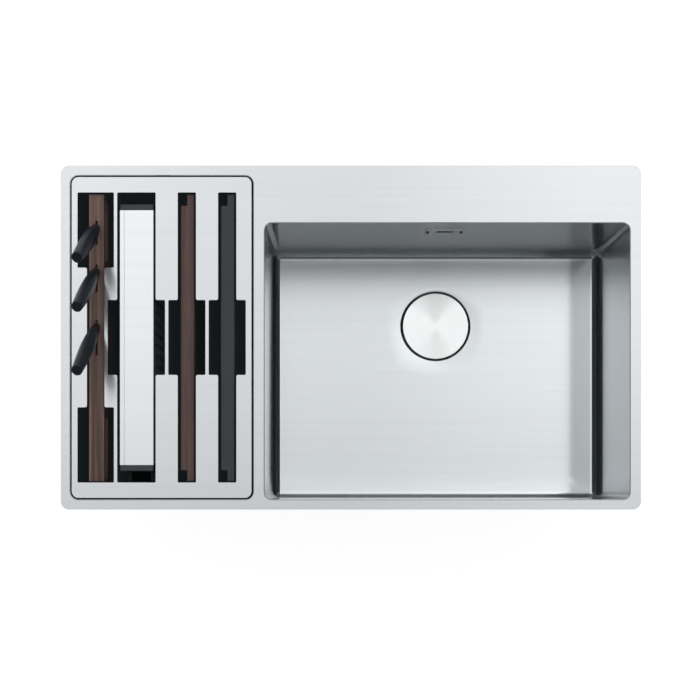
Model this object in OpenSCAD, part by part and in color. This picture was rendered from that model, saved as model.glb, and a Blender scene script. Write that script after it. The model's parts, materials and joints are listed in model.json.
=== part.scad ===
// Workstation kitchen sink: a wide bowl beside a deep accessory well.
// The well holds a lift-out organiser with a knife block, a colander and two boards.
// Frame: origin at the centre of the outline, z = 0 on the worktop that the rim seal
// rests on, +X to the right, +Y to the wall behind the sink, +Z up. Millimetres.

/* [Sink top] */
// Overall width of the sink, left to right
sink_w = 860; // [830:1:900]
// Overall depth of the sink, front to back
sink_d = 510; // [490:1:540]
// Outer corner radius of the top
sink_corner_r = 12; // [6:1:20]
// Thickness of the steel sheet
sheet_t = 1; // [0.8:0.1:1.5]
// Rim width left of the accessory well
rim_left = 13; // [12:0.5:20]
// Rim width right of the bowl
rim_right = 15; // [12:0.5:22]
// Rim width along the front
rim_front = 14; // [12:0.5:18]
// Rim width behind the accessory well
rim_back = 14; // [12:0.5:18]
// Depth of the flat deck behind the bowl, where a tap is fitted
tap_deck_d = 84; // [76:1:95]
// Width of the bridge between the well and the bowl
bridge_w = 15; // [12:0.5:20]
// Thickness of the foam strip under the rim
seal_t = 1.2; // [0.8:0.1:2]
// Width of the foam strip under the rim
seal_w = 7; // [5:0.5:8]

/* [Bowl and well] */
// Depth of the main bowl below the top
bowl_depth = 200; // [180:1:220]
// Corner and floor radius of the main bowl
bowl_corner_r = 12; // [10:1:16]
// Width of the accessory well
well_w = 273; // [268:1:280]
// Depth of the accessory well below the top
well_depth = 200; // [190:1:220]
// Corner and floor radius of the accessory well
well_corner_r = 13; // [10:1:16]
// Thickness of the sound-deadening pads
pad_t = 2; // [1.5:0.1:3]

/* [Waste and overflow] */
// Distance from the back wall of the bowl to the centre of the waste
waste_from_back = 122.5; // [110:0.5:150]
// Radius of the pressed recess round the waste
recess_r = 59; // [58.5:0.1:61]
// Depth of the pressed recess round the waste
recess_depth = 8; // [6:0.5:10]
// Radius of the hole in the bottom of the recess
waste_hole_r = 45; // [44.6:0.1:46]
// Outer radius of the waste flange
waste_flange_r = 57; // [54:0.5:58]
// Radius of the cover disc over the waste
cover_r = 55; // [50:0.5:56]
// Height of the cover disc's top above the bowl floor
cover_rise = 2.2; // [1.6:0.1:4]
// Depth of the strainer cup below its flange
cup_depth = 40; // [36:1:44]
// Outer radius of the waste outlet
outlet_r = 23.9; // [20:0.1:25]
// Length of the waste outlet below the waste body
outlet_l = 36; // [25:1:50]
// Height of the overflow's centre below the top
overflow_drop = 50; // [45:1:60]
// Width of the overflow cover
overflow_cover_w = 56; // [50:1:64]
// Height of the overflow cover
overflow_cover_h = 32; // [28:1:36]
// Outer radius of the ribs of the overflow hose
hose_rib_r = 16; // [15:0.5:17]
// Spacing of the ribs of the overflow hose
hose_rib_pitch = 5; // [4:0.5:8]
// Radius of the pipe between the two wastes
cross_pipe_r = 16; // [14:0.5:16]

/* [Organiser] */
// Clear gap between the organiser plate and the rim of the well
plate_gap = 3.3; // [2.5:0.1:4]
// Thickness of the organiser plate
plate_t = 1.5; // [1.2:0.1:2]
// Height of the organiser plate's top above the sink's top
plate_proud = 1; // [0.5:0.1:2]
// Corner radius of the organiser plate
plate_corner_r = 10; // [6:1:12]
// Height of the organiser's steel edge, plate and band together
band_h = 14; // [8:1:20]
// Distance from the plate's left edge to the first opening
plate_margin = 8.5; // [7:0.1:9]
// Width of the steel webs between the openings
web_w = 4.8; // [4:0.1:5]
// Width of a finger space beside what hangs in a slot
finger_w = 14; // [13:0.1:14]
// Length of the finger spaces in the middle of the slots
finger_l = 111; // [90:1:130]
// Corner radius of the openings in the plate
slot_corner_r = 1.8; // [1:0.1:3]
// Clear gap at each end of the boards in their slots
slot_end_gap = 1.5; // [1:0.1:2]
// Width of the slot for a board
board_slot_w = 27; // [26:0.1:28]
// Width of the slot for the colander
colander_slot_w = 57; // [56:0.1:58]
// Width of the opening round the knife block
block_slot_w = 26; // [25.5:0.1:27]
// Length of the narrow middle of the knife block's opening
block_slot_mid_l = 207; // [190:1:220]
// Wall thickness of the black insert
insert_t = 2.4; // [2:0.1:3]
// Height of the rubber feet under the insert
foot_h = 7; // [6.5:0.1:9]
// Radius of the rubber feet under the insert
foot_r = 10; // [6:0.5:12]

/* [Boards, block and colander] */
// How far a board or the colander rests on the bowl's rim at each end
rest_lap = 7.5; // [6:0.1:9]
// Thickness of a board
board_t = 20.4; // [18:0.1:21]
// Thickness of the tongue at a board's ends
tongue_t = 10.8; // [9:0.1:12]
// Distance from the organiser plate's top down to the boards' top edge
board_sink = 4.7; // [3:0.1:7]
// Thickness of the knife block
block_t = 22.7; // [20:0.1:23]
// Distance from the organiser plate's top down to the colander's top edge
colander_sink = 1.7; // [1:0.1:4]
// Width of the colander, which is its depth in use
colander_t = 49.5; // [46:0.1:51]
// Length of the steel part of the colander
colander_l = 378; // [360:1:384]
// Length of a colander end cap beyond the steel
grip_l = 9; // [7:0.5:12]
// Wall thickness of the colander's sheet
colander_wall = 0.8; // [0.6:0.1:1.2]
// Width of the flange folded round the colander's open side
colander_flange_w = 5; // [4:0.5:7]
// Radius of the holes in the colander's base
colander_hole_r = 3; // [2:0.5:4]
// Spacing of the holes in the colander's base
colander_hole_pitch = 16; // [14:1:24]

/* [Knives] */
// Angle between the knives and the vertical
knife_tilt = 30; // [25:1:32]
// Distance from the block's back end to the large knife
large_knife_at = 213.5; // [209.5:0.5:233.5]
// Distance from the block's back end to the middle knife
middle_knife_at = 125.5; // [121.5:0.5:129.5]
// Distance from the block's back end to the small knife
small_knife_at = 57.5; // [56.5:0.5:61.5]
// Blade length of the large knife
large_blade_l = 190; // [150:1:195]
// Blade width of the large knife
large_blade_w = 43; // [36:1:44]
// Blade length of the middle knife
middle_blade_l = 150; // [110:1:156]
// Blade width of the middle knife
middle_blade_w = 33; // [28:1:36]
// Blade length of the small knife
small_blade_l = 76; // [60:1:78]
// Blade width of the small knife
small_blade_w = 28; // [24:1:29]
// Thickness of the blades
blade_t = 2; // [1.5:0.1:2.4]
// Length of a knife's handle
handle_l = 114; // [100:1:120]
// Thickness of a knife's handle
handle_t = 18; // [16:0.5:20]
// Width of a knife's handle at its fullest
handle_w = 25; // [22:0.5:27]

/* [Clamps] */
// Length of a clamp bracket below the worktop's top
clamp_drop = 72; // [68:1:80]
// Thickness of a clamp bracket
clamp_sheet_t = 1.2; // [1:0.1:1.5]
// Width of a clamp bracket
clamp_w = 24; // [20:1:30]
// Radius of a clamp screw
clamp_screw_r = 2.5; // [2:0.1:2.6]
// Length of a clamp screw
clamp_screw_l = 60; // [56:1:66]
// Height of a folded toe's face below the worktop's top
clamp_toe_z = 42; // [40:1:46]
// Reach of a clamp's toe from its screw
clamp_toe_l = 34; // [28:1:38]
// Distance of the bowl's clamps from its right end
clamp_inset = 110; // [80:1:140]

/* [Hidden] */

$fn = 64;
// A cut runs this far past the face that it opens
cut = 1;
// Gap under what stands in a seat and can be lifted out of it
seat_gap = 0.1;
// Facets round a whole turn on the basins' blended corners
blend_fn = 32;

// The top and its two openings
top_z = seal_t + sheet_t;
left_x = -sink_w / 2;
right_x = sink_w / 2;
front_y = -sink_d / 2 + rim_front;
well_x0 = left_x + rim_left;
well_x1 = well_x0 + well_w;
well_y1 = sink_d / 2 - rim_back;
bowl_x0 = well_x1 + bridge_w;
bowl_x1 = right_x - rim_right;
bowl_y1 = sink_d / 2 - tap_deck_d;
bowl_cx = (bowl_x0 + bowl_x1) / 2;
well_cx = (well_x0 + well_x1) / 2;
well_cy = (front_y + well_y1) / 2;
bowl_cy = (front_y + bowl_y1) / 2;
bowl_d = bowl_y1 - front_y;
well_d = well_y1 - front_y;
bowl_floor = top_z - bowl_depth;
well_floor = top_z - well_depth;
lip_h = 0.8;                 // the top's turned-down outer edge
seal_inset = 3;              // from the outer edge to the foam strip

// Waste
waste_x = bowl_cx;
waste_y = bowl_y1 - waste_from_back;
recess_floor = bowl_floor - recess_depth;
seal_rubber_t = 1;
flange_t = 1.2;
flange_top = recess_floor + seal_rubber_t + flange_t;
cup_r = 42;                  // inside the mouth of the cup
cup_low_r = 38;              // inside the cup below its step
cup_step = 8;                // from the flange's top down to the step
cup_floor = flange_top - cup_depth;
cup_hole_r = 8.5;            // of each of the six holes in the cup's floor
basket_t = 0.8;
basket_r = cup_low_r - 1;
basket_z = cup_floor + 7;    // underside of the basket's base
basket_hole_r = 2;
basket_seal_t = 3;
basket_seal_w = 6;
stem_r = 3;
stem_washer_h = 4;
knob_r = 9;
knob_h = 6;
knob_top = flange_top - 3;
knob_lap = 3;                // how far the cover's socket reaches down the knob
knob_socket_wall = 1.6;
lower_seal_t = 2;
body_top = recess_floor - sheet_t - lower_seal_t;
body_flange_r = 62;
body_flange_t = 4;
body_bore_r = 46;
body_wall = 3;
body_h = 60;
body_floor = body_top - body_h;
side_inlet_z = body_top - 30;  // axis of the inlets on the waste body's side
outlet_wall = 3.4;
outlet_collar_w = 5;         // collar that bonds the outlet to the body's underside
outlet_collar_h = 3;
waste_screw_r = 4;
screw_cap_r = 7;             // head of the long screw, in the cup
screw_cap_h = 2.4;
spider_hub_r = 8;            // spider in the body that the long screw draws on
spider_hub_h = 11;
spider_arm_w = 4;
spider_arm_h = 9;
fit_gap = 0.1;               // between a pipe and its socket
socket_wall = 2.4;
socket_l = 26;               // from the waste body's wall to a socket's mouth
nut_l = 16;
nut_wall = 4.5;

// Overflow
overflow_x = waste_x;
overflow_z = top_z - overflow_drop;
overflow_standoff = 4;
overflow_hole_w = 36;
overflow_hole_h = 18;
overflow_slit_w = 26;
overflow_slit_h = 3;
cover_leg_w = 10;
overflow_seal_t = 2;
hose_clear = 5;              // between the bowl's wall and the hose's ribs
hose_y = bowl_y1 + sheet_t + hose_clear + hose_rib_r;
hose_bore_r = 12.2;
hose_wall = 1.6;
housing_wall = 2.5;
housing_w = 62;
housing_h = 40;
housing_y0 = bowl_y1 + sheet_t + overflow_seal_t;
housing_y1 = hose_y + hose_rib_r;
housing_z0 = overflow_z - housing_h / 2;
stub_r = hose_bore_r - fit_gap;
stub_wall = 1.8;
stub_l = 26;
bend_r = 18;                 // centre line of the overflow elbow's bend
elbow_top = side_inlet_z + bend_r + stub_l + 6;
hose_z0 = side_inlet_z + bend_r + 6;
hose_z1 = housing_z0 - 2;
hose_ribs = floor((hose_z1 - hose_z0) / hose_rib_pitch);
screw_spread = 23;           // from the overflow's centre to each of its two screws
screw_r = 1.75;
screw_head_r = 3.2;
screw_head_h = 1.2;

// Waste of the accessory well
well_hole_r = 20;
well_flange_r = 28;
well_flange_t = 1.4;
well_body_r = 30;
well_body_top = well_floor - sheet_t - lower_seal_t;
well_body_wall = 2.6;
well_body_h = 58;
well_body_flange_t = 3;
well_seal_t = 0.8;
well_post_r = 6;             // post in the cup that the screw goes into
well_post_drop = 16;         // from the cup's top down to the post
well_screw_r = 3;
well_thread_l = 18;          // depth of the screw's hole in the post
well_cap_r = 5.5;
well_cap_h = 2;
well_grid_r = 11.5;          // from the grid's centre to each of its six holes
well_grid_hole_r = 4;
// Where the cross pipe starts and ends, inside the two sockets
pipe_x0 = well_cx + well_hole_r + well_body_wall + 6;
pipe_x1 = waste_x - body_bore_r - body_wall - 6;
pipe_wall = 1.8;
nut_gap = 3;                 // from a socket's mouth to the end of its nut

// Organiser
plate_w = well_w - 2 * plate_gap;
plate_l = well_d - 2 * plate_gap;
plate_x0 = well_x0 + plate_gap;
plate_top = top_z + plate_proud;
plate_under = plate_top - plate_t;
item_l = bowl_d + 2 * rest_lap;
slot_l = item_l + 2 * slot_end_gap;
block_cx = plate_x0 + plate_margin + finger_w + block_slot_w / 2;
colander_cx = block_cx + block_slot_w / 2 + web_w + finger_w + colander_slot_w / 2;
wood_cx = colander_cx + colander_slot_w / 2 + web_w + 2 * finger_w + board_slot_w / 2;
black_cx = wood_cx + board_slot_w + web_w + 2 * finger_w;
item_top = plate_top - board_sink;
colander_top = plate_top - colander_sink;
insert_gap = 0.3;            // between the steel band and the insert
insert_x0 = plate_x0 + sheet_t + insert_gap;
insert_w = plate_w - 2 * (sheet_t + insert_gap);
insert_l = plate_l - 2 * (sheet_t + insert_gap);
insert_z0 = well_floor + foot_h;
insert_floor = insert_z0 + 3;
item_z0 = insert_floor + seat_gap;
item_h = item_top - item_z0;
guide_h = 18;                // ribs on the insert's floor beside what stands there
guide_gap = 1;
guide_end = 20;              // from a slot's end to the end of its ribs
insert_hole_r = 5;           // drain holes in the insert's floor, and their spacings
insert_hole_dx = 62;
insert_hole_dy = 80;
notch_h = 62;                // depth of the finger notch in a wall of the insert
foot_inset = 34;

// Board tongues and block grips
tongue_room = 9;             // from the bowl's wall to a board's step, in use
tongue_l = rest_lap + tongue_room;
grip_cut_t = 4;
grip_cut_h = 14;
grip_cut_drop = 6;
grip_cut_l = 92;
grip_cut_end = 4;            // from the block's end to the grip cut

// Knives: each one's local +Z runs out of the block, its edge faces the front
slot_room = 0.5;             // clear gap beside a blade in its slot
slot_edge_room = 1.4;        // clear gap along a blade's edge and back
slot_tip_room = 2;           // clear gap below a blade's tip
slot_above = 40;             // how far a slot's cut runs out above the block
blade_out = 8;               // from the block's top up to the handle, along the knife
tang_l = 70;
tang_w = 12;
tang_gap = 0.1;
full_at = 0.45;              // where a handle is fullest, as a share of its length
side_foot = 0.62;            // a handle's width at its foot and head, as shares of its fullest
side_head = 0.72;
front_foot = 0.66;           // and its thickness
front_head = 0.8;

// Clamps: place of each one's bracket on a wall, and the way it faces
clamps = [
    [well_cx, front_y - sheet_t, 180],
    [bowl_x1 - clamp_inset, front_y - sheet_t, 180],
    [well_cx, well_y1 + sheet_t, 0],
    [bowl_x1 - clamp_inset, well_y1 + sheet_t, 0],
];
hung_clamp = 3;              // this one hangs from the deck behind the bowl
clamp_flange_l = 12;
clamp_screw_at = 6.3;        // from the wall to the screw's axis
clamp_foot_l = 11;
clamp_run = 0.05;            // clear gap between a screw and its thread
clamp_nut_h = 4;
clamp_nut_r = 4.5;
clamp_head_r = 4.4;
clamp_head_h = 3.5;
clamp_slot_w = 1.2;
clamp_slot_d = 1.4;
clamp_neck_r = clamp_screw_r - 0.8;
toe_hub_r = 4.4;
toe_t = 2.5;
toe_tip_h = 4;               // the toe's turned-up end, with its rubber cap
toe_tip_l = 5;
toe_play = 0.05;
toe_under = -clamp_toe_z - toe_tip_h - toe_t;
clamp_collar_h = 1;          // collar on a screw that holds its toe down
pad_inset = 45;              // from a wall's edges to its sound-deadening pad
pad_top = toe_under - clamp_screw_l - clamp_head_h - 6;

steel = [0.80, 0.81, 0.82];
dark_steel = [0.66, 0.67, 0.69];
black_plastic = [0.10, 0.11, 0.12];
rubber = [0.16, 0.16, 0.17];
walnut = [0.40, 0.27, 0.20];
graphite = [0.22, 0.24, 0.25];
foam = [0.30, 0.31, 0.32];
handle_black = [0.07, 0.08, 0.10];

// A rectangle with round corners, from its centre
module round_rect(w, l, r) {
    square([w - 2 * r, l], center = true);
    square([w, l - 2 * r], center = true);
    for (sx = [-1, 1], sy = [-1, 1])
        translate([sx * (w / 2 - r), sy * (l / 2 - r)]) circle(r);
}

// A round ring or tube standing on z = 0
module ring(r_out, r_in, h) {
    difference() {
        cylinder(r = r_out, h = h);
        translate([0, 0, -cut]) cylinder(r = r_in, h = h + 2 * cut);
    }
}

// A vertical corner post whose foot is a quarter ball
module corner_post(r, h) {
    rotate_extrude($fn = blend_fn)
        polygon(concat(
            [for (i = [0 : blend_fn / 4])
                let (a = i * 360 / blend_fn) [r * sin(a), r - r * cos(a)]],
            [[r, h], [0, h]]));
}

// The space inside a basin, grown all round by g
module basin_space(w, l, r, depth, g = 0) {
    hull()
        for (sx = [-1, 1], sy = [-1, 1])
            translate([sx * (w / 2 - r), sy * (l / 2 - r), -depth - g])
                corner_post(r + g, depth + g);
}

// Top sheet with both openings and a turned-down edge
module deck() {
    color(steel)
    difference() {
        union() {
            translate([0, 0, seal_t])
                linear_extrude(sheet_t) round_rect(sink_w, sink_d, sink_corner_r);
            translate([0, 0, seal_t - lip_h])
                linear_extrude(lip_h + sheet_t / 2) difference() {
                    round_rect(sink_w, sink_d, sink_corner_r);
                    round_rect(sink_w - 2 * sheet_t, sink_d - 2 * sheet_t,
                               sink_corner_r - sheet_t);
                }
        }
        translate([bowl_cx, bowl_cy, 0]) linear_extrude(top_z + cut)
            round_rect(bowl_x1 - bowl_x0, bowl_d, bowl_corner_r);
        translate([well_cx, well_cy, 0]) linear_extrude(top_z + cut)
            round_rect(well_w, well_d, well_corner_r);
    }
}

// Bowl, with the recess and hole for its waste and the overflow's slot
module main_bowl() {
    shell_depth = seal_t - bowl_floor;
    color(steel)
    difference() {
        union() {
            difference() {
                translate([bowl_cx, bowl_cy, seal_t])
                    basin_space(bowl_x1 - bowl_x0, bowl_d, bowl_corner_r, shell_depth, sheet_t);
                translate([bowl_cx, bowl_cy, seal_t + cut])
                    basin_space(bowl_x1 - bowl_x0, bowl_d, bowl_corner_r, shell_depth + cut);
            }
            translate([waste_x, waste_y, recess_floor - sheet_t])
                cylinder(r = recess_r + sheet_t, h = recess_depth + sheet_t);
        }
        translate([waste_x, waste_y, recess_floor])
            cylinder(r = recess_r, h = recess_depth + cut);
        translate([waste_x, waste_y, recess_floor - sheet_t - cut])
            cylinder(r = waste_hole_r, h = sheet_t + 2 * cut);
        translate([overflow_x - overflow_hole_w / 2, bowl_y1 - cut,
                   overflow_z - overflow_hole_h / 2])
            cube([overflow_hole_w, sheet_t + 2 * cut, overflow_hole_h]);
        for (s = [-1, 1])
            translate([overflow_x + s * screw_spread, bowl_y1 - cut, overflow_z])
                rotate([-90, 0, 0]) cylinder(r = screw_r, h = sheet_t + 2 * cut);
    }
}

// Accessory well, with the hole for its waste
module accessory_well() {
    shell_depth = seal_t - well_floor;
    color(steel)
    difference() {
        translate([well_cx, well_cy, seal_t])
            basin_space(well_w, well_d, well_corner_r, shell_depth, sheet_t);
        translate([well_cx, well_cy, seal_t + cut])
            basin_space(well_w, well_d, well_corner_r, shell_depth + cut);
        translate([well_cx, waste_y, well_floor - sheet_t - cut])
            cylinder(r = well_hole_r, h = sheet_t + 2 * cut);
    }
}

// Foam strip between the rim and the worktop
module rim_seal() {
    color(foam)
    linear_extrude(seal_t) difference() {
        round_rect(sink_w - 2 * seal_inset, sink_d - 2 * seal_inset,
                   sink_corner_r - seal_inset);
        inset = seal_inset + seal_w;
        square([sink_w - 2 * inset, sink_d - 2 * inset], center = true);
    }
}

// A sheet of rubber stuck to a wall or floor, from two opposite corners
module pad(a, b) {
    translate(a) cube(b - a);
}

// Sound-deadening pads on the outside of the bowl
module bowl_sound_pads() {
    edge = pad_inset;
    low = bowl_floor + 2 * bowl_corner_r;
    high = pad_top;
    out = sheet_t + pad_t;
    hose_room = hose_rib_r + 12;
    waste_room = body_flange_r + 14;
    color(rubber) {
        pad([bowl_x0 + edge, front_y - out, low], [bowl_x1 - edge, front_y - sheet_t, high]);
        pad([bowl_x1 + sheet_t, front_y + edge, low], [bowl_x1 + out, bowl_y1 - edge, high]);
        pad([bowl_x0 - out, front_y + edge, low], [bowl_x0 - sheet_t, bowl_y1 - edge, high]);
        for (s = [-1, 1]) {
            x0 = s > 0 ? overflow_x + hose_room : bowl_x0 + edge;
            x1 = s > 0 ? bowl_x1 - edge : overflow_x - hose_room;
            pad([x0, bowl_y1 + sheet_t, low], [x1, bowl_y1 + out, high]);
            fx0 = s > 0 ? waste_x + waste_room : bowl_x0 + edge;
            fx1 = s > 0 ? bowl_x1 - edge : waste_x - waste_room;
            pad([fx0, front_y + edge, bowl_floor - out],
                [fx1, bowl_y1 - edge, bowl_floor - sheet_t]);
        }
    }
}

// Sound-deadening pads on the outside of the well
module well_sound_pads() {
    edge = pad_inset;
    low = well_floor + 2 * well_corner_r;
    high = pad_top;
    out = sheet_t + pad_t;
    color(rubber) {
        pad([well_x0 + edge, front_y - out, low], [well_x1 - edge, front_y - sheet_t, high]);
        pad([well_x0 + edge, well_y1 + sheet_t, low], [well_x1 - edge, well_y1 + out, high]);
        pad([well_x0 - out, front_y + edge, low], [well_x0 - sheet_t, well_y1 - edge, high]);
        pad([well_x0 + edge, front_y + edge, well_floor - out],
            [well_x1 - edge, waste_y - well_body_r - 20, well_floor - sheet_t]);
    }
}

// Puts a clamp's own frame (+Y away from the wall) in its place
module at_clamp(i) {
    translate([clamps[i][0], clamps[i][1], 0]) rotate([0, 0, clamps[i][2]]) children();
}

// One bracket: a strip down the wall, a narrow foot and a welded nut
module clamp_bracket(hung) {
    difference() {
        union() {
            translate([-clamp_w / 2, 0, -clamp_drop])
                cube([clamp_w, clamp_sheet_t, clamp_drop + seal_t]);
            translate([-clamp_w / 2, 0, -clamp_drop])
                cube([clamp_w, clamp_foot_l, clamp_sheet_t]);
            if (hung)
                translate([-clamp_w / 2, -clamp_flange_l, seal_t - clamp_sheet_t])
                    cube([clamp_w, clamp_flange_l + clamp_sheet_t / 2, clamp_sheet_t]);
            translate([0, clamp_screw_at, -clamp_drop - clamp_nut_h])
                cylinder(r = clamp_nut_r, h = clamp_nut_h + clamp_sheet_t / 2);
        }
        translate([0, clamp_screw_at, -clamp_drop - clamp_nut_h - cut])
            cylinder(r = clamp_screw_r + clamp_run,
                     h = clamp_nut_h + clamp_sheet_t + 2 * cut);
    }
}

module clamp_brackets() {
    color(dark_steel)
    for (i = [0 : len(clamps) - 1]) at_clamp(i) clamp_bracket(i == hung_clamp);
}

// Screw with a slotted head below and a shoulder under the toe
module clamp_screw(i) {
    color(dark_steel) at_clamp(i) translate([0, clamp_screw_at, toe_under]) {
        translate([0, 0, -clamp_screw_l]) {
            cylinder(r = clamp_screw_r, h = clamp_screw_l);
            translate([0, 0, -clamp_head_h]) difference() {
                cylinder(r = clamp_head_r, h = clamp_head_h);
                translate([-clamp_head_r, -clamp_slot_w / 2, -cut])
                    cube([2 * clamp_head_r, clamp_slot_w, clamp_slot_d + cut]);
            }
        }
        cylinder(r = clamp_neck_r, h = toe_t + clamp_collar_h / 2);
        translate([0, 0, toe_t + toe_play])
            cylinder(r = clamp_screw_r + 0.5, h = clamp_collar_h);
    }
}

// Toe folded along the wall; it swings out under the worktop
module clamp_toe(i) {
    side = i == 0 || i == 2 ? 1 : -1;
    color(dark_steel) at_clamp(i)
    translate([0, clamp_screw_at, toe_under]) difference() {
        union() {
            cylinder(r = toe_hub_r, h = toe_t);
            translate([side > 0 ? 0 : -clamp_toe_l, -toe_hub_r, 0])
                cube([clamp_toe_l, 2 * toe_hub_r, toe_t]);
            translate([side > 0 ? clamp_toe_l - toe_tip_l : -clamp_toe_l, -toe_hub_r, 0])
                cube([toe_tip_l, 2 * toe_hub_r, toe_t + toe_tip_h]);
        }
        translate([0, 0, -cut])
            cylinder(r = clamp_neck_r + clamp_run, h = toe_t + 2 * cut);
    }
}

module waste_upper_seal() {
    color(rubber) translate([waste_x, waste_y, recess_floor])
        ring(waste_flange_r - 1, waste_hole_r + 0.5, seal_rubber_t);
}

// Steel flange and strainer cup in one pressing
module waste_flange() {
    step_z = flange_top - cup_step;
    color(steel) translate([waste_x, waste_y, 0]) difference() {
        rotate_extrude() polygon([
            [0, cup_floor - flange_t], [cup_low_r + flange_t, cup_floor - flange_t],
            [cup_low_r + flange_t, step_z - flange_t], [cup_r + flange_t, step_z - flange_t],
            [cup_r + flange_t, flange_top - flange_t], [waste_flange_r, flange_top - flange_t],
            [waste_flange_r, flange_top], [cup_r, flange_top], [cup_r, step_z],
            [cup_low_r, step_z], [cup_low_r, cup_floor], [0, cup_floor]]);
        translate([0, 0, cup_floor - flange_t - cut])
            cylinder(r = waste_screw_r + fit_gap, h = flange_t + 2 * cut);
        for (i = [0 : 5]) rotate([0, 0, i * 60])
            translate([cup_low_r - basket_seal_w - cup_hole_r + 0.5, 0,
                       cup_floor - flange_t - cut])
                cylinder(r = cup_hole_r, h = flange_t + 2 * cut);
    }
}

module waste_lower_seal() {
    color(rubber) translate([waste_x, waste_y, body_top])
        ring(body_flange_r - 1, body_bore_r, lower_seal_t);
}

// A side socket on a waste body, along +X from radius r0 to its mouth
module side_socket(pipe_r, r0, r1) {
    rotate([0, 90, 0]) translate([0, 0, r0])
        cylinder(r = pipe_r + fit_gap + socket_wall, h = r1 - r0);
}

module side_bore(pipe_r, r0, r1) {
    rotate([0, 90, 0]) translate([0, 0, r0]) cylinder(r = pipe_r + fit_gap, h = r1 - r0 + cut);
}

// Hub and three arms across the body's floor
module waste_spider() {
    difference() {
        union() {
            cylinder(r = spider_hub_r, h = spider_hub_h);
            for (i = [0 : 2]) rotate([0, 0, i * 120 + 30])
                translate([0, -spider_arm_w / 2, 0])
                    cube([body_bore_r + body_wall / 2, spider_arm_w, spider_arm_h]);
        }
        translate([0, 0, -cut]) cylinder(r = waste_screw_r, h = spider_hub_h + 2 * cut);
    }
}

// Moulded body below the bowl, with one inlet behind and one at the left
module waste_body() {
    wall_r = body_bore_r + body_wall;
    mouth = wall_r + socket_l;
    color(black_plastic) translate([waste_x, waste_y, 0]) {
        difference() {
            union() {
                translate([0, 0, body_top - body_flange_t])
                    cylinder(r = body_flange_r, h = body_flange_t);
                translate([0, 0, body_floor]) cylinder(r = wall_r, h = body_h - body_wall);
                translate([0, 0, side_inlet_z]) {
                    rotate([0, 0, 180]) side_socket(cross_pipe_r, body_bore_r + 1, mouth);
                    rotate([0, 0, 90]) side_socket(stub_r, body_bore_r + 1, mouth);
                }
            }
            translate([0, 0, body_floor + body_wall]) cylinder(r = body_bore_r, h = body_h + cut);
            translate([0, 0, body_floor - cut])
                cylinder(r = outlet_r - outlet_wall, h = body_wall + 2 * cut);
            translate([0, 0, side_inlet_z]) {
                rotate([0, 0, 180]) side_bore(cross_pipe_r, body_bore_r / 2, mouth);
                rotate([0, 0, 90]) side_bore(stub_r, body_bore_r / 2, mouth);
            }
        }
        translate([0, 0, body_floor]) waste_spider();
    }
}

// Outlet spigot with a collar, bonded under the body
module waste_outlet() {
    color(black_plastic) translate([waste_x, waste_y, body_floor - outlet_l]) {
        ring(outlet_r, outlet_r - outlet_wall, outlet_l);
        translate([0, 0, outlet_l - outlet_collar_h])
            ring(outlet_r + outlet_collar_w, outlet_r - outlet_wall, outlet_collar_h);
    }
}

// Long screw that draws the cup and the waste body together
module waste_screw() {
    shaft_l = cup_floor - body_floor - 1;
    color(dark_steel) translate([waste_x, waste_y, cup_floor]) {
        cylinder(r = screw_cap_r, h = screw_cap_h);
        translate([0, 0, -shaft_l]) cylinder(r = waste_screw_r, h = shaft_l + screw_cap_h / 2);
    }
}

// Low cover over the overflow slot, open at both ends, with two legs that clip in
module overflow_cover() {
    h = overflow_cover_h;
    leg_x = overflow_hole_w / 2 - 3;
    leg_l = overflow_standoff + sheet_t + overflow_seal_t + 8;
    color(steel) translate([overflow_x, bowl_y1, overflow_z]) {
        difference() {
            translate([-overflow_cover_w / 2, -overflow_standoff, -h / 2])
                cube([overflow_cover_w, overflow_standoff, h]);
            translate([-overflow_cover_w / 2 - cut, -overflow_standoff + sheet_t,
                       sheet_t - h / 2])
                cube([overflow_cover_w + 2 * cut, overflow_standoff, h - 2 * sheet_t]);
            translate([-overflow_slit_w / 2, -overflow_standoff - cut, -overflow_slit_h / 2])
                cube([overflow_slit_w, sheet_t + 2 * cut, overflow_slit_h]);
        }
        for (s = [-1, 1])
            translate([s * leg_x - sheet_t / 2, sheet_t / 2 - overflow_standoff,
                       -cover_leg_w / 2])
                cube([sheet_t, leg_l, cover_leg_w]);
    }
}

module overflow_seal() {
    color(rubber) translate([overflow_x, bowl_y1 + sheet_t, overflow_z])
    difference() {
        translate([-housing_w / 2, 0, -housing_h / 2])
            cube([housing_w, overflow_seal_t, housing_h]);
        translate([-overflow_hole_w / 2, -cut, -overflow_hole_h / 2])
            cube([overflow_hole_w, overflow_seal_t + 2 * cut, overflow_hole_h]);
        for (s = [-1, 1]) translate([s * screw_spread, -cut, 0])
            rotate([-90, 0, 0]) cylinder(r = screw_r, h = overflow_seal_t + 2 * cut);
    }
}

// Box behind the bowl's wall, with a stub that the hose goes over
module overflow_housing() {
    depth = housing_y1 - housing_y0;
    side_wall = (housing_w - overflow_hole_w) / 2;
    color(black_plastic) translate([overflow_x, 0, 0]) difference() {
        union() {
            translate([-housing_w / 2, housing_y0, housing_z0]) cube([housing_w, depth, housing_h]);
            translate([0, hose_y, housing_z0 - stub_l]) cylinder(r = stub_r, h = stub_l + 1);
        }
        translate([side_wall - housing_w / 2, housing_y0 - cut, housing_z0 + housing_wall])
            cube([housing_w - 2 * side_wall, depth - housing_wall + cut,
                  housing_h - 2 * housing_wall]);
        translate([0, hose_y, housing_z0 - stub_l - cut])
            cylinder(r = stub_r - stub_wall, h = stub_l + housing_wall + 2 * cut);
        for (s = [-1, 1]) translate([s * screw_spread, housing_y0 - cut, overflow_z])
            rotate([-90, 0, 0]) cylinder(r = screw_r, h = 10 + cut);
    }
}

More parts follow.
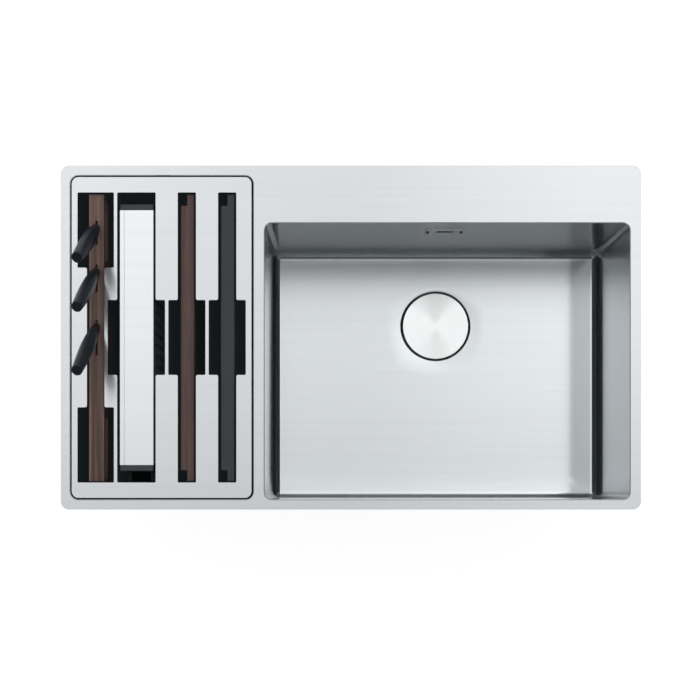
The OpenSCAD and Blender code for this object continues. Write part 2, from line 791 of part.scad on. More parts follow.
// Screws that draw the housing to the wall; the cover hides their heads
module overflow_screws() {
    color(dark_steel)
    for (s = [-1, 1]) translate([overflow_x + s * screw_spread, bowl_y1, overflow_z])
        rotate([-90, 0, 0]) {
            cylinder(r = screw_r, h = sheet_t + overflow_seal_t + 8);
            translate([0, 0, -screw_head_h]) cylinder(r = screw_head_r, h = screw_head_h);
        }
}

// Ribbed hose between the housing's stub and the elbow
module overflow_hose() {
    wall_r = hose_bore_r + hose_wall;
    rib_h = hose_rib_pitch / 2;
    outline = concat(
        [[hose_bore_r, hose_z0]],
        [for (i = [0 : hose_ribs - 1])
            let (z = hose_z0 + i * hose_rib_pitch)
            each [[wall_r, z], [hose_rib_r, z + rib_h * 0.4],
                  [hose_rib_r, z + rib_h * 1.2], [wall_r, z + rib_h * 1.6]]],
        [[wall_r, hose_z1], [hose_bore_r, hose_z1]]);
    color(black_plastic) translate([overflow_x, hose_y, 0])
        rotate_extrude() polygon(outline);
}

// Bend from the hose down and forward into the waste body
module overflow_elbow() {
    mouth_y = waste_y + body_bore_r + body_wall + 4;
    run = hose_y - bend_r - mouth_y;
    color(black_plastic) translate([overflow_x, 0, 0]) {
        translate([0, hose_y, side_inlet_z + bend_r])
            ring(stub_r, stub_r - stub_wall, elbow_top - side_inlet_z - bend_r);
        translate([0, hose_y - bend_r, side_inlet_z + bend_r]) rotate([90, 0, 90])
            rotate_extrude(angle = -90) translate([bend_r, 0]) difference() {
                circle(stub_r);
                circle(stub_r - stub_wall);
            }
        translate([0, hose_y - bend_r, side_inlet_z]) rotate([90, 0, 0])
            ring(stub_r, stub_r - stub_wall, run);
    }
}

module well_waste_seals() {
    color(rubber) translate([well_cx, waste_y, 0]) {
        translate([0, 0, well_floor]) ring(well_flange_r - 1, well_hole_r, well_seal_t);
        translate([0, 0, well_body_top]) ring(well_body_r - 1, well_hole_r, lower_seal_t);
    }
}

// Grid plate on the floor of the well
module well_waste_flange() {
    z = well_floor + well_seal_t;
    neck_r = well_hole_r - 0.5;
    neck_h = 8;
    color(steel) translate([well_cx, waste_y, 0]) difference() {
        union() {
            translate([0, 0, z]) cylinder(r = well_flange_r, h = well_flange_t);
            translate([0, 0, z - neck_h]) ring(neck_r, neck_r - 1.2, neck_h + well_flange_t / 2);
        }
        for (i = [0 : 5]) rotate([0, 0, i * 60]) translate([well_grid_r, 0, z - cut])
            cylinder(r = well_grid_hole_r, h = well_flange_t + 2 * cut);
        translate([0, 0, z - cut])
            cylinder(r = well_screw_r + fit_gap, h = well_flange_t + 2 * cut);
    }
}

// Moulded cup under the well, with a post for its screw and a socket to the main waste
module well_waste_body() {
    cup_out = well_hole_r + well_body_wall;
    floor_z = well_body_top - well_body_h;
    post_h = well_body_h - well_post_drop;
    color(black_plastic) translate([well_cx, waste_y, 0]) {
        difference() {
            union() {
                translate([0, 0, well_body_top - well_body_flange_t])
                    cylinder(r = well_body_r, h = well_body_flange_t);
                translate([0, 0, floor_z]) cylinder(r = cup_out, h = well_body_h - 1);
                translate([0, 0, side_inlet_z])
                    side_socket(cross_pipe_r, well_hole_r - 6, cup_out + socket_l);
            }
            translate([0, 0, floor_z + well_body_wall])
                cylinder(r = well_hole_r, h = well_body_h + cut);
            translate([0, 0, side_inlet_z])
                side_bore(cross_pipe_r, well_post_r + 1, cup_out + socket_l);
        }
        translate([0, 0, floor_z + well_body_wall / 2]) difference() {
            cylinder(r = well_post_r, h = post_h - well_body_wall / 2);
            translate([0, 0, post_h - well_thread_l])
                cylinder(r = well_screw_r, h = well_thread_l + cut);
        }
    }
}

module well_waste_screw() {
    z = well_floor + well_seal_t + well_flange_t;
    shaft_l = z - well_body_top + well_post_drop + well_thread_l - 3;
    color(dark_steel) translate([well_cx, waste_y, z]) {
        cylinder(r = well_cap_r, h = well_cap_h);
        translate([0, 0, -shaft_l]) cylinder(r = well_screw_r, h = shaft_l + well_cap_h / 2);
    }
}

module cross_pipe() {
    color(black_plastic) translate([pipe_x0, waste_y, side_inlet_z]) rotate([0, 90, 0])
        ring(cross_pipe_r, cross_pipe_r - pipe_wall, pipe_x1 - pipe_x0);
}

// One compression nut over a socket's mouth, along +X
module pipe_nut(pipe_r) {
    socket_r = pipe_r + fit_gap + socket_wall;
    rotate([0, 90, 0]) difference() {
        cylinder(r = socket_r + fit_gap + nut_wall, h = nut_l);
        translate([0, 0, -cut]) cylinder(r = pipe_r + fit_gap, h = nut_l + 2 * cut);
        translate([0, 0, nut_gap]) cylinder(r = socket_r + fit_gap, h = nut_l);
    }
}

module pipe_nuts() {
    body_mouth = body_bore_r + body_wall + socket_l;
    well_mouth = well_hole_r + well_body_wall + socket_l;
    color(rubber) {
        translate([waste_x - body_mouth - nut_gap, waste_y, side_inlet_z])
            pipe_nut(cross_pipe_r);
        translate([well_cx + well_mouth + nut_gap, waste_y, side_inlet_z])
            mirror([1, 0, 0]) pipe_nut(cross_pipe_r);
        translate([waste_x, waste_y + body_mouth + nut_gap, side_inlet_z])
            rotate([0, 0, -90]) pipe_nut(stub_r);
    }
}

// Basket that hangs in the cup by its lip
module strainer_basket() {
    lip_z = flange_top - cup_step + seat_gap;
    lip_r = cup_r - 0.5;
    r = basket_r;
    t = basket_t;
    base = basket_z;
    rows = [[12, 8], [20, 12], [28, 18]];   // radius and number of the holes in each row
    color(steel) translate([waste_x, waste_y, 0]) difference() {
        rotate_extrude() polygon([
            [0, base], [r, base], [r, lip_z], [lip_r, lip_z], [lip_r, lip_z + t],
            [r - t, lip_z + t], [r - t, base + t], [0, base + t]]);
        for (row = rows, i = [0 : row[1] - 1])
            rotate([0, 0, i * 360 / row[1]]) translate([row[0], 0, base - cut])
                cylinder(r = basket_hole_r, h = t + 2 * cut, $fn = 24);
        translate([0, 0, base - cut]) cylinder(r = stem_r, h = t + 2 * cut);
    }
}

// Stem through the basket's base, with a washer on it and the knob on top
module basket_stem() {
    color(dark_steel) translate([waste_x, waste_y, 0]) {
        translate([0, 0, basket_z - basket_seal_t])
            cylinder(r = stem_r, h = knob_top - knob_h / 2 - basket_z + basket_seal_t);
        translate([0, 0, knob_top - knob_h]) cylinder(r = knob_r, h = knob_h);
        translate([0, 0, basket_z + basket_t]) cylinder(r = 2 * stem_r, h = stem_washer_h);
    }
}

module basket_seal() {
    color(rubber) translate([waste_x, waste_y, basket_z - basket_seal_t])
        ring(basket_r - seat_gap, basket_r - basket_seal_w, basket_seal_t);
}

// Brushed disc over the waste; its socket fits over the basket's knob
module drain_cover() {
    top = bowl_floor + cover_rise;
    socket_z = knob_top - knob_lap;
    color(steel) translate([waste_x, waste_y, 0]) {
        translate([0, 0, top - flange_t]) cylinder(r = cover_r, h = flange_t, $fn = 128);
        difference() {
            translate([0, 0, socket_z])
                cylinder(r = knob_r + seat_gap + knob_socket_wall,
                         h = top - flange_t / 2 - socket_z);
            translate([0, 0, socket_z - cut])
                cylinder(r = knob_r + seat_gap, h = knob_lap + seat_gap + cut);
        }
    }
}

// An opening in the plate: the slot and its wider finger space
module slot_outline(cx, w, wide_l) {
    translate([cx, well_cy]) {
        round_rect(w, slot_l, slot_corner_r);
        round_rect(w + 2 * finger_w, wide_l, slot_corner_r);
    }
}

// The knife block's opening is wide at both ends and narrow in the middle
module block_outline() {
    end_l = (slot_l - block_slot_mid_l) / 2;
    translate([block_cx, well_cy]) {
        round_rect(block_slot_w, slot_l, slot_corner_r);
        for (s = [-1, 1]) translate([0, s * (slot_l - end_l) / 2])
            round_rect(block_slot_w + 2 * finger_w, end_l, slot_corner_r);
    }
}

// Flat sheet with the four openings
module organiser_plate() {
    color(steel) difference() {
        translate([well_cx, well_cy, plate_under])
            linear_extrude(plate_t) round_rect(plate_w, plate_l, plate_corner_r);
        translate([0, 0, plate_under - cut]) linear_extrude(plate_t + 2 * cut) {
            block_outline();
            slot_outline(colander_cx, colander_slot_w, finger_l);
            slot_outline(wood_cx, board_slot_w, finger_l);
            slot_outline(black_cx, board_slot_w, finger_l);
        }
    }
}

// Steel band welded under the plate's edge, round the insert
module organiser_band() {
    color(steel) translate([well_cx, well_cy, plate_top - band_h])
        linear_extrude(band_h - plate_t) difference() {
            round_rect(plate_w, plate_l, plate_corner_r);
            round_rect(plate_w - 2 * sheet_t, plate_l - 2 * sheet_t, plate_corner_r - sheet_t);
        }
}

// One pair of low ribs that keeps an upright piece in its bay
module guide(cx, t) {
    rib = insert_t;
    for (s = [-1, 1])
        translate([cx + s * (t / 2 + guide_gap + rib / 2) - rib / 2,
                   well_cy - slot_l / 2 + guide_end, insert_floor - 1])
            cube([rib, slot_l - 2 * guide_end, guide_h + 1]);
}

// Walls between the bays; a low middle leaves room for fingers
module bay_wall(x, notched) {
    h = plate_under - insert_floor + 1;
    difference() {
        translate([x - insert_t / 2, well_cy - insert_l / 2 + insert_t / 2, insert_floor - 1])
            cube([insert_t, insert_l - insert_t, h]);
        if (notched)
            translate([x - insert_t, well_cy - finger_l / 2 - 2, plate_under - notch_h])
                cube([2 * insert_t, finger_l + 4, notch_h + cut]);
    }
}

// Black insert under the plate, open at the top
module organiser_insert() {
    h = plate_under - insert_z0;
    r = plate_corner_r - sheet_t - insert_gap;
    half_web = web_w / 2;
    color(black_plastic) {
        difference() {
            translate([well_cx, well_cy, insert_z0])
                linear_extrude(h) round_rect(insert_w, insert_l, r);
            translate([well_cx, well_cy, insert_floor]) linear_extrude(h)
                round_rect(insert_w - 2 * insert_t, insert_l - 2 * insert_t, r - insert_t);
            for (ix = [-1 : 1], iy = [-2 : 2])
                translate([well_cx + ix * insert_hole_dx, well_cy + iy * insert_hole_dy,
                           insert_z0 - cut])
                    cylinder(r = insert_hole_r, h = insert_floor - insert_z0 + 2 * cut);
        }
        bay_wall(block_cx + block_slot_w / 2 + finger_w + half_web, true);
        bay_wall(colander_cx + colander_slot_w / 2 + finger_w + half_web, false);
        bay_wall(wood_cx + board_slot_w / 2 + finger_w + half_web, false);
        guide(block_cx, block_t);
        guide(wood_cx, board_t);
        guide(black_cx, board_t);
    }
}

module organiser_feet() {
    x = insert_w / 2 - foot_inset;
    y = insert_l / 2 - foot_inset;
    color(rubber)
    for (sx = [-1, 1], sy = [-1, 1])
        translate([well_cx + sx * x, well_cy + sy * y, well_floor + seat_gap])
            cylinder(r = foot_r, h = foot_h - seat_gap);
}

// Puts a knife's own frame at its slot on the block's top
module at_knife(from_back) {
    translate([block_cx, well_cy + item_l / 2 - from_back, item_top])
        rotate([knife_tilt, 0, 0]) children();
}

module knife_slot(from_back, l, w) {
    at_knife(from_back)
        translate([-blade_t / 2 - slot_room, -w / 2 - slot_edge_room, -l - slot_tip_room])
            cube([blade_t + 2 * slot_room, w + 2 * slot_edge_room,
                  l + slot_tip_room + slot_above]);
}

module knife_block() {
    color(walnut) difference() {
        translate([block_cx - block_t / 2, well_cy - item_l / 2, item_z0])
            cube([block_t, item_l, item_h]);
        knife_slot(large_knife_at, large_blade_l, large_blade_w);
        knife_slot(middle_knife_at, middle_blade_l, middle_blade_w);
        knife_slot(small_knife_at, small_blade_l, small_blade_w);
        for (sx = [-1, 1], sy = [-1, 1]) {
            mid = item_l / 2 - grip_cut_end - grip_cut_l / 2;
            translate([block_cx + sx * (block_t / 2 - grip_cut_t / 2 + cut / 2),
                       well_cy + sy * mid, item_top - grip_cut_drop - grip_cut_h / 2])
                cube([grip_cut_t + cut, grip_cut_l, grip_cut_h], center = true);
        }
    }
}

// Blade outline in the plane of the knife: straight back, curved edge, stepped tang
module blade_outline(l, w) {
    belly = 10;
    polygon(concat(
        [[w / 2, 0], [w / 2, -l * 0.55]],
        [for (i = [0 : belly])
            let (a = 90 * i / belly)
            [w / 2 - w * (1 - cos(a)) * 0.45, -l * 0.55 - l * 0.45 * sin(a)]],
        [for (i = [1 : belly])
            let (a = 90 * i / belly)
            [w * 0.05 - w * 0.55 * sin(a), -l + l * 0.5 * (1 - cos(a))]],
        [[-w / 2, 0], [-w / 2, 3], [-tang_w / 2, blade_out], [-tang_w / 2, blade_out + tang_l],
         [tang_w / 2, blade_out + tang_l], [tang_w / 2, blade_out], [w / 2, 3]]));
}

module knife_blade(from_back, l, w) {
    color(steel) at_knife(from_back)
        rotate([90, 0, 90]) translate([0, 0, -blade_t / 2])
            linear_extrude(blade_t) blade_outline(l, w);
}

// Half width of a handle at height z above its foot: narrow at both ends, full between
function handle_half(z, full, foot, head) =
    let (t = z / handle_l, low = foot + (1 - foot) * sin(min(t / full_at, 1) * 90))
    full / 2 * (t < full_at ? low : head + (1 - head) * cos((t - full_at) / (1 - full_at) * 90));

module handle_side(full, foot, head) {
    steps = 12;
    polygon(concat(
        [for (i = [0 : steps]) let (z = handle_l * i / steps)
            [handle_half(z, full, foot, head), z]],
        [for (i = [steps : -1 : 0]) let (z = handle_l * i / steps)
            [-handle_half(z, full, foot, head), z]]));
}

module knife_handle(from_back) {
    color(handle_black) at_knife(from_back) translate([0, 0, blade_out]) difference() {
        intersection() {
            rotate([90, 0, 90]) translate([0, 0, -handle_t])
                linear_extrude(2 * handle_t) handle_side(handle_w, side_foot, side_head);
            rotate([90, 0, 0]) translate([0, 0, -handle_w])
                linear_extrude(2 * handle_w) handle_side(handle_t, front_foot, front_head);
        }
        translate([-blade_t / 2 - tang_gap, -tang_w / 2 - tang_gap, -cut])
            cube([blade_t + 2 * tang_gap, tang_w + 2 * tang_gap, tang_l + tang_gap + cut]);
    }
}

// Colander standing on its long side, its open side to the left
module colander_basin() {
    x0 = colander_cx - colander_t / 2;
    y0 = well_cy - colander_l / 2;
    h = colander_top - item_z0;
    w = colander_wall;
    f = colander_flange_w;
    rows = floor((h - 2 * colander_hole_pitch) / colander_hole_pitch);
    cols = floor((colander_l - 2 * colander_hole_pitch) / colander_hole_pitch);
    color(steel) difference() {
        translate([x0, y0, item_z0]) cube([colander_t, colander_l, h]);
        translate([x0 + f, y0 + w, item_z0 + w])
            cube([colander_t - f - w, colander_l - 2 * w, h - 2 * w]);
        translate([x0 - cut, y0 + f, item_z0 + f])
            cube([f + 2 * cut, colander_l - 2 * f, h - 2 * f]);
        for (r = [0 : rows], c = [0 : cols])
            translate([x0 + colander_t - w - cut,
                       well_cy + (c - cols / 2) * colander_hole_pitch,
                       item_z0 + h / 2 + (r - rows / 2) * colander_hole_pitch])
                rotate([0, 90, 0])
                    cylinder(r = colander_hole_r, h = w + 2 * cut, $fn = 24);
    }
}

// End cap at the back, with the lip that rests on the bowl's rim in use
module colander_grip() {
    h = colander_top - item_z0;
    lip = item_l / 2 - colander_l / 2;
    translate([colander_cx - colander_t / 2, colander_l / 2, item_z0]) {
        cube([colander_t, grip_l, h]);
        cube([rest_lap, lip, h]);
    }
}

module colander_grip_front() {
    color(black_plastic) translate([0, well_cy, 0]) mirror([0, 1, 0]) colander_grip();
}

module colander_grip_back() {
    color(black_plastic) translate([0, well_cy, 0]) colander_grip();
}

// A board on edge; at each end a tongue stays on its right face
module board(cx) {
    step = board_t - tongue_t;
    difference() {
        translate([cx - board_t / 2, well_cy - item_l / 2, item_z0])
            cube([board_t, item_l, item_h]);
        for (s = [-1, 1])
            translate([cx - board_t / 2 + step / 2 - cut / 2,
                       well_cy + s * (item_l / 2 - tongue_l / 2 + cut / 2),
                       item_z0 + item_h / 2])
                cube([step + cut, tongue_l + cut, item_h + 2 * cut], center = true);
    }
}

module wood_board() {
    color(walnut) board(wood_cx);
}

module black_board() {
    color(graphite) board(black_cx);
}

deck();
main_bowl();
accessory_well();
rim_seal();
bowl_sound_pads();
well_sound_pads();
clamp_brackets();
for (i = [0 : len(clamps) - 1]) {
    clamp_screw(i);
    clamp_toe(i);
}
waste_upper_seal();
waste_flange();
waste_lower_seal();
waste_body();
waste_outlet();
waste_screw();
overflow_cover();
overflow_seal();
overflow_housing();
overflow_screws();
overflow_hose();
overflow_elbow();
well_waste_seals();
well_waste_flange();
well_waste_body();
well_waste_screw();
cross_pipe();
pipe_nuts();
strainer_basket();
basket_stem();
basket_seal();
drain_cover();
organiser_plate();
organiser_band();
organiser_insert();
organiser_feet();
knife_block();
knife_blade(large_knife_at, large_blade_l, large_blade_w);  // large_knife_blade
knife_handle(large_knife_at);  // large_knife_handle
knife_blade(middle_knife_at, middle_blade_l, middle_blade_w);  // middle_knife_blade
knife_handle(middle_knife_at);  // middle_knife_handle
knife_blade(small_knife_at, small_blade_l, small_blade_w);  // small_knife_blade
knife_handle(small_knife_at);  // small_knife_handle
colander_basin();
colander_grip_front();
colander_grip_back();
wood_board();
black_board();
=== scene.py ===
import json
import math

import bmesh
import bpy
import numpy as np
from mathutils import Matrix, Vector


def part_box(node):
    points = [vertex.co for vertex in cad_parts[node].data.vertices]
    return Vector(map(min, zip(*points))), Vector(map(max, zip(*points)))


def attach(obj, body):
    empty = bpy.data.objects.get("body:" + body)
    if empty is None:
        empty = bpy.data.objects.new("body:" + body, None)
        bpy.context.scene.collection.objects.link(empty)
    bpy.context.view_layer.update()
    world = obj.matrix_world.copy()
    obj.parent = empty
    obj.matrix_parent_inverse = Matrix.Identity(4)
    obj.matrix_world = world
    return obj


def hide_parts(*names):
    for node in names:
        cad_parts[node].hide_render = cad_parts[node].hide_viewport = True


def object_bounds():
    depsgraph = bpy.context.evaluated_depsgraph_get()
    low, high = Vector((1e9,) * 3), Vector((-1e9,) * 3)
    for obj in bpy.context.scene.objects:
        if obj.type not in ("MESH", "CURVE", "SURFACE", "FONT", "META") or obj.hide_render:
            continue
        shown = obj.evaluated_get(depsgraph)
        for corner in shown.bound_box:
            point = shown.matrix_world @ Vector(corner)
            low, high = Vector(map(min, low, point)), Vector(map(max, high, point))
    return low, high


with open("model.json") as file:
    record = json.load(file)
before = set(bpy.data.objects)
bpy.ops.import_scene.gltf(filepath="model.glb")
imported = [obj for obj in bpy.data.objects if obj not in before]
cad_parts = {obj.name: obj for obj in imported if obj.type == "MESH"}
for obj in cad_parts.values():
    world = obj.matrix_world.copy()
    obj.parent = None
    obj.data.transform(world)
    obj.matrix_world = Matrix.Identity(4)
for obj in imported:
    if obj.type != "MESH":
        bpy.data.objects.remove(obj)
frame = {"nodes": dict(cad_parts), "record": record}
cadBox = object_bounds()
nodes = frame["nodes"]
bodyOf = {name: body for body, members in frame["record"]["behaviour"]["bodies"].items()
          for name in members}
mm = 0.001


# the studio; lengths are in metres, and the lens and the sensor in mm
view = {
    "at": (-1.3 * mm, -215.7 * mm, 1452.2 * mm),
    "lens": 50.28,
    "sensor": 36,
    "shiftY": 0.19,
    "clipEnd": 50,
}
studio = {
    "softboxSize": (3.6, 6.4),       # across and front to back
    "softboxAt": (0.0, 2.7, 5.0),
    "softboxLevel": 0.35,            # its brightness; 1 is white
    "lowest": 0.05,                  # the least height that a slope is measured with
    "glowLevel": 1.12,               # the same softbox as metal sees it, straight up
    "glowSides": 3.0,                # how much it rises with the square of the slope across
    "glowRight": 0.11,               # and how much brighter it is on the right
    "sideRise": (-0.15, 0.30),       # slopes from front to back between which both set in
    "sideLow": 0.35,                 # the share of them that there is at the front
    "rightEdges": (0.0, 0.15),       # slopes from straight up between which that sets in
    "acrossEdges": (0.35, 0.39),     # where the glow ends at the sides
    "frontEdges": (-0.50, 0.20),
    "backEdges": (1.2, 1.7),
    "diagonalLevel": 0.50,           # reflector panels at the four corners
    "diagonalEdges": (0.78, 0.86),   # how far from the corner they reach, as a cosine
    "diagonalTop": (0.66, 0.78),     # and how high, as the sine of the elevation
    "crossLevel": 0.22,              # panels at the front and the back
    "crossEdges": (0.90, 0.97),
    "crossTop": (0.55, 0.66),
    "darkColor": (0.80, 0.98, 1.10), # tone of the dark studio, and its level
    "darkLevel": 0.030,
    "horizonEdges": (0.10, 0.18),    # height of the white backdrop, likewise
    "roomLevel": 0.80,               # soft light on everything that isn't metal or glass
    "floorGlow": 0.80,
    "floorTones": (0.8, 0.3),        # of the floor as the pieces meet it and as the camera does
    "floorZ": cadBox[0].z - 0.5 * mm,
    "floorRadius": 4.0,
    "floorCorners": 96,
}


def addNode(tree, kind, inputs=None, **settings):
    # a shader node; each input, by name or number, is a plain value or another node's output
    node = tree.nodes.new("ShaderNode" + kind)
    for key, value in settings.items():
        setattr(node, key, value)
    for key, value in (inputs or {}).items():
        if isinstance(value, bpy.types.NodeSocket):
            tree.links.new(value, node.inputs[key])
        else:
            node.inputs[key].default_value = value
    return node


def maths(tree, operation, *operands, clamp=False):
    return addNode(tree, "Math", dict(enumerate(operands)), operation=operation,
                   use_clamp=clamp).outputs[0]


def product(tree, first, *others):
    for other in others:
        first = maths(tree, "MULTIPLY", first, other)
    return first


def remap(tree, value, low, high, toLow=0.0, toHigh=1.0, kind="LINEAR"):
    inputs = {"Value": value, "From Min": low, "From Max": high, "To Min": toLow,
              "To Max": toHigh}
    return addNode(tree, "MapRange", inputs, interpolation_type=kind).outputs[0]


def fade(tree, value, edges, falling=False):
    # a smooth step from 0 at the lower edge to 1 at the upper one, or the other way round
    return remap(tree, value, *edges, float(falling), 1.0 - falling, "SMOOTHSTEP")


def mixed(tree, kind, factor, first, second):
    # a Mix node for "FLOAT" or "RGBA", which have their own sockets
    slot, result = {"FLOAT": (2, 0), "RGBA": (6, 2)}[kind]
    inputs = {0: factor, slot: first, slot + 1: second}
    return addNode(tree, "Mix", inputs, data_type=kind).outputs[result]


def linkObject(name, data):
    thing = bpy.data.objects.new(name, data)
    bpy.context.scene.collection.objects.link(thing)
    return thing


def buildCamera():
    data = bpy.data.cameras.new("overheadCamera")
    data.lens = view["lens"]
    data.sensor_width = view["sensor"]
    data.shift_y = view["shiftY"]
    data.clip_end = view["clipEnd"]
    camera = linkObject("overheadCamera", data)
    camera.location = view["at"]
    bpy.context.scene.camera = camera


def buildSoftbox():
    data = bpy.data.lights.new("softbox", "AREA")
    data.shape = "RECTANGLE"
    data.size, data.size_y = studio["softboxSize"]
    data.energy = math.pi * data.size * data.size_y * studio["softboxLevel"]
    lamp = linkObject("softbox", data)
    lamp.location = studio["softboxAt"]
    lamp.visible_glossy = False      # metal sees the sky's own softbox instead


def seenByEye(tree):
    # 1 for rays from the camera and for those that metal or glass sends on
    path = addNode(tree, "LightPath").outputs
    direct = maths(tree, "ADD", path["Is Camera Ray"], path["Is Glossy Ray"])
    return maths(tree, "ADD", direct, path["Is Transmission Ray"], clamp=True)


def overheadGlow(tree, x, y, z):
    # the glow reaches further back than to the front; its level is the one straight up plus
    # what the square of the slope across and the right side add, less so at the front
    height = maths(tree, "MAXIMUM", z, studio["lowest"])
    across = maths(tree, "DIVIDE", x, height)
    along = maths(tree, "DIVIDE", y, height)
    inside = product(tree, fade(tree, maths(tree, "ABSOLUTE", across), studio["acrossEdges"], True),
                     fade(tree, along, studio["frontEdges"]),
                     fade(tree, along, studio["backEdges"], True))
    sides = product(tree, across, across, studio["glowSides"])
    right = product(tree, fade(tree, across, studio["rightEdges"]), studio["glowRight"])
    rise = maths(tree, "MULTIPLY_ADD", fade(tree, along, studio["sideRise"]),
                 1 - studio["sideLow"], studio["sideLow"])
    level = maths(tree, "MULTIPLY_ADD", maths(tree, "ADD", sides, right), rise,
                  studio["glowLevel"])
    return product(tree, inside, level)


def reflectorPanels(tree, x, y, z):
    # four at the corners and two weaker ones at the front and the back, by the cosines of the
    # level direction to the side and to the front
    flat = maths(tree, "SQRT", maths(tree, "MULTIPLY_ADD", x, x,
                                     maths(tree, "MULTIPLY_ADD", y, y, 1e-6)))
    toSide = maths(tree, "DIVIDE", maths(tree, "ABSOLUTE", x), flat)
    toFront = maths(tree, "DIVIDE", maths(tree, "ABSOLUTE", y), flat)
    nearest = maths(tree, "MAXIMUM", toSide, toFront)
    diagonal = product(tree, fade(tree, nearest, studio["diagonalEdges"], True),
                       fade(tree, z, studio["diagonalTop"], True), studio["diagonalLevel"])
    cross = product(tree, fade(tree, toFront, studio["crossEdges"]),
                    fade(tree, z, studio["crossTop"], True), studio["crossLevel"])
    return maths(tree, "MAXIMUM", diagonal, cross)


def buildWorld():
    # what camera, metal and glass see: a white backdrop low down, the panels and the glow; all
    # else gets an even soft light
    world = bpy.data.worlds.new("studioSky")
    bpy.context.scene.world = world
    world.use_nodes = True
    tree = world.node_tree
    tree.nodes.clear()
    place = addNode(tree, "TexCoord").outputs["Generated"]
    x, y, z = addNode(tree, "SeparateXYZ", {0: place}).outputs
    upper = maths(tree, "MAXIMUM", overheadGlow(tree, x, y, z), reflectorPanels(tree, x, y, z))
    low = fade(tree, z, studio["horizonEdges"], True)
    level = maths(tree, "MAXIMUM", mixed(tree, "FLOAT", low, upper, 1.0),
                  addNode(tree, "LightPath").outputs["Is Camera Ray"])
    color = addNode(tree, "CombineXYZ", {
        axis: maths(tree, "ADD", level, part * studio["darkLevel"])
        for axis, part in enumerate(studio["darkColor"])})
    seen = addNode(tree, "Background", {"Color": color.outputs[0]})
    room = addNode(tree, "Background", {"Color": (1, 1, 1, 1), "Strength": studio["roomLevel"]})
    both = addNode(tree, "MixShader", {0: seenByEye(tree), 1: room.outputs[0], 2: seen.outputs[0]})
    addNode(tree, "OutputWorld", {"Surface": both.outputs[0]})


def buildFloor():
    # a wide disc; the camera sees it near white and still sees the shadow on it, and from
    # below the disc is clear
    corners = studio["floorCorners"]
    turns = np.linspace(0, 2 * np.pi, corners, endpoint=False)
    ring = np.stack([np.cos(turns), np.sin(turns), 0 * turns], 1) * studio["floorRadius"]
    ring[:, 2] = studio["floorZ"]
    mesh = bpy.data.meshes.new("studioFloor")
    mesh.from_pydata(ring.tolist(), [], [list(range(corners))])
    paint = bpy.data.materials.new("studioFloor")
    paint.use_nodes = True
    mesh.materials.append(paint)
    tree = paint.node_tree
    tree.nodes.clear()
    plain, pale = [addNode(tree, "BsdfDiffuse", {"Color": (tone, tone, tone, 1)}).outputs[0]
                   for tone in studio["floorTones"]]
    glow = addNode(tree, "Emission", {"Color": (1, 1, 1, 1), "Strength": studio["floorGlow"]})
    bright = addNode(tree, "AddShader", {0: pale, 1: glow.outputs[0]})
    above = addNode(tree, "MixShader", {0: seenByEye(tree), 1: plain, 2: bright.outputs[0]})
    clear = addNode(tree, "BsdfTransparent")
    back = addNode(tree, "NewGeometry").outputs["Backfacing"]
    floor = addNode(tree, "MixShader", {0: back, 1: above.outputs[0], 2: clear.outputs[0]})
    addNode(tree, "OutputMaterial", {"Surface": floor.outputs[0]})
    linkObject("studioFloor", mesh)


bpy.context.scene.view_settings.view_transform = "Standard"
buildCamera()
buildWorld()
buildSoftbox()
buildFloor()
print("studio: camera, world, softbox and floor")


# grains that several materials share, as node groups; a scale is about its marks in a metre
brushedMarks = {
    "lines": (1500, 9, 0),           # across the lines, along them and off the map
    "streaks": (110, 1.6, 0),
    "clouds": 6,
    "cloudShare": 0.8,               # how much the clouds roughen, beside the lines
    "tints": (0.10, 0.07, 0.06),     # how much lines, streaks and clouds change the tone
}
woodMarks = {
    "warp": (18, 2.2, 18),           # noise that bends the growth lines
    "warpReach": (5.0, 0, 3.0),
    "bands": (150, 2.4, 150),        # growth lines
    "bandEdges": (0.34, 0.62),
    "fibres": (1400, 14, 1400),
    "fibreEdges": (0.35, 0.65),
    "pores": (2200, 60, 2200),
    "poreEdges": (0.62, 0.74),
    "poreDepth": 0.7,
    "light": (60, 1.2, 60),          # broad lighter stretches
    "lightEdges": (0.42, 0.66),
    "fibreShare": 0.35,              # the least share of them between fibres
    "roughness": (0.2, 0.40),        # its change with the fibres, and its least
}
mouldedMarks = {
    "clouds": 22,
    "specks": 700,
    "tint": 0.35,                    # how much both change the tone
}


def newGroup(name, **inputs):
    # a group with a Vector and other inputs, each with the value that it has until it is set
    group = bpy.data.node_groups.new(name, "ShaderNodeTree")
    group.interface.new_socket("Vector", in_out="INPUT", socket_type="NodeSocketVector")
    for label, value in inputs.items():
        kind = "NodeSocketColor" if isinstance(value, tuple) else "NodeSocketFloat"
        socket = group.interface.new_socket(label, in_out="INPUT", socket_type=kind)
        socket.default_value = value
    return group, group.nodes.new("NodeGroupInput").outputs


def endGroup(group, **results):
    for label in results:
        kind = "NodeSocketColor" if label == "Color" else "NodeSocketFloat"
        group.interface.new_socket(label, in_out="OUTPUT", socket_type=kind)
    end = group.nodes.new("NodeGroupOutput")
    for label, source in results.items():
        group.links.new(source, end.inputs[label])
    return group


def stretched(tree, vector, scale):
    # a vector multiplied by one scale for each axis
    return addNode(tree, "VectorMath", {0: vector, 1: scale}, operation="MULTIPLY").outputs[0]


def noise(tree, vector, scale=1.0, detail=2.0, roughness=0.5):
    # fractal noise along a vector, which one scale or one for each axis stretches
    if isinstance(scale, tuple):
        vector, scale = stretched(tree, vector, scale), 1.0
    inputs = {"Vector": vector, "Scale": scale, "Detail": detail, "Roughness": roughness}
    return addNode(tree, "TexNoise", inputs).outputs["Fac"]


def centred(tree, value):
    return maths(tree, "SUBTRACT", value, 0.5)


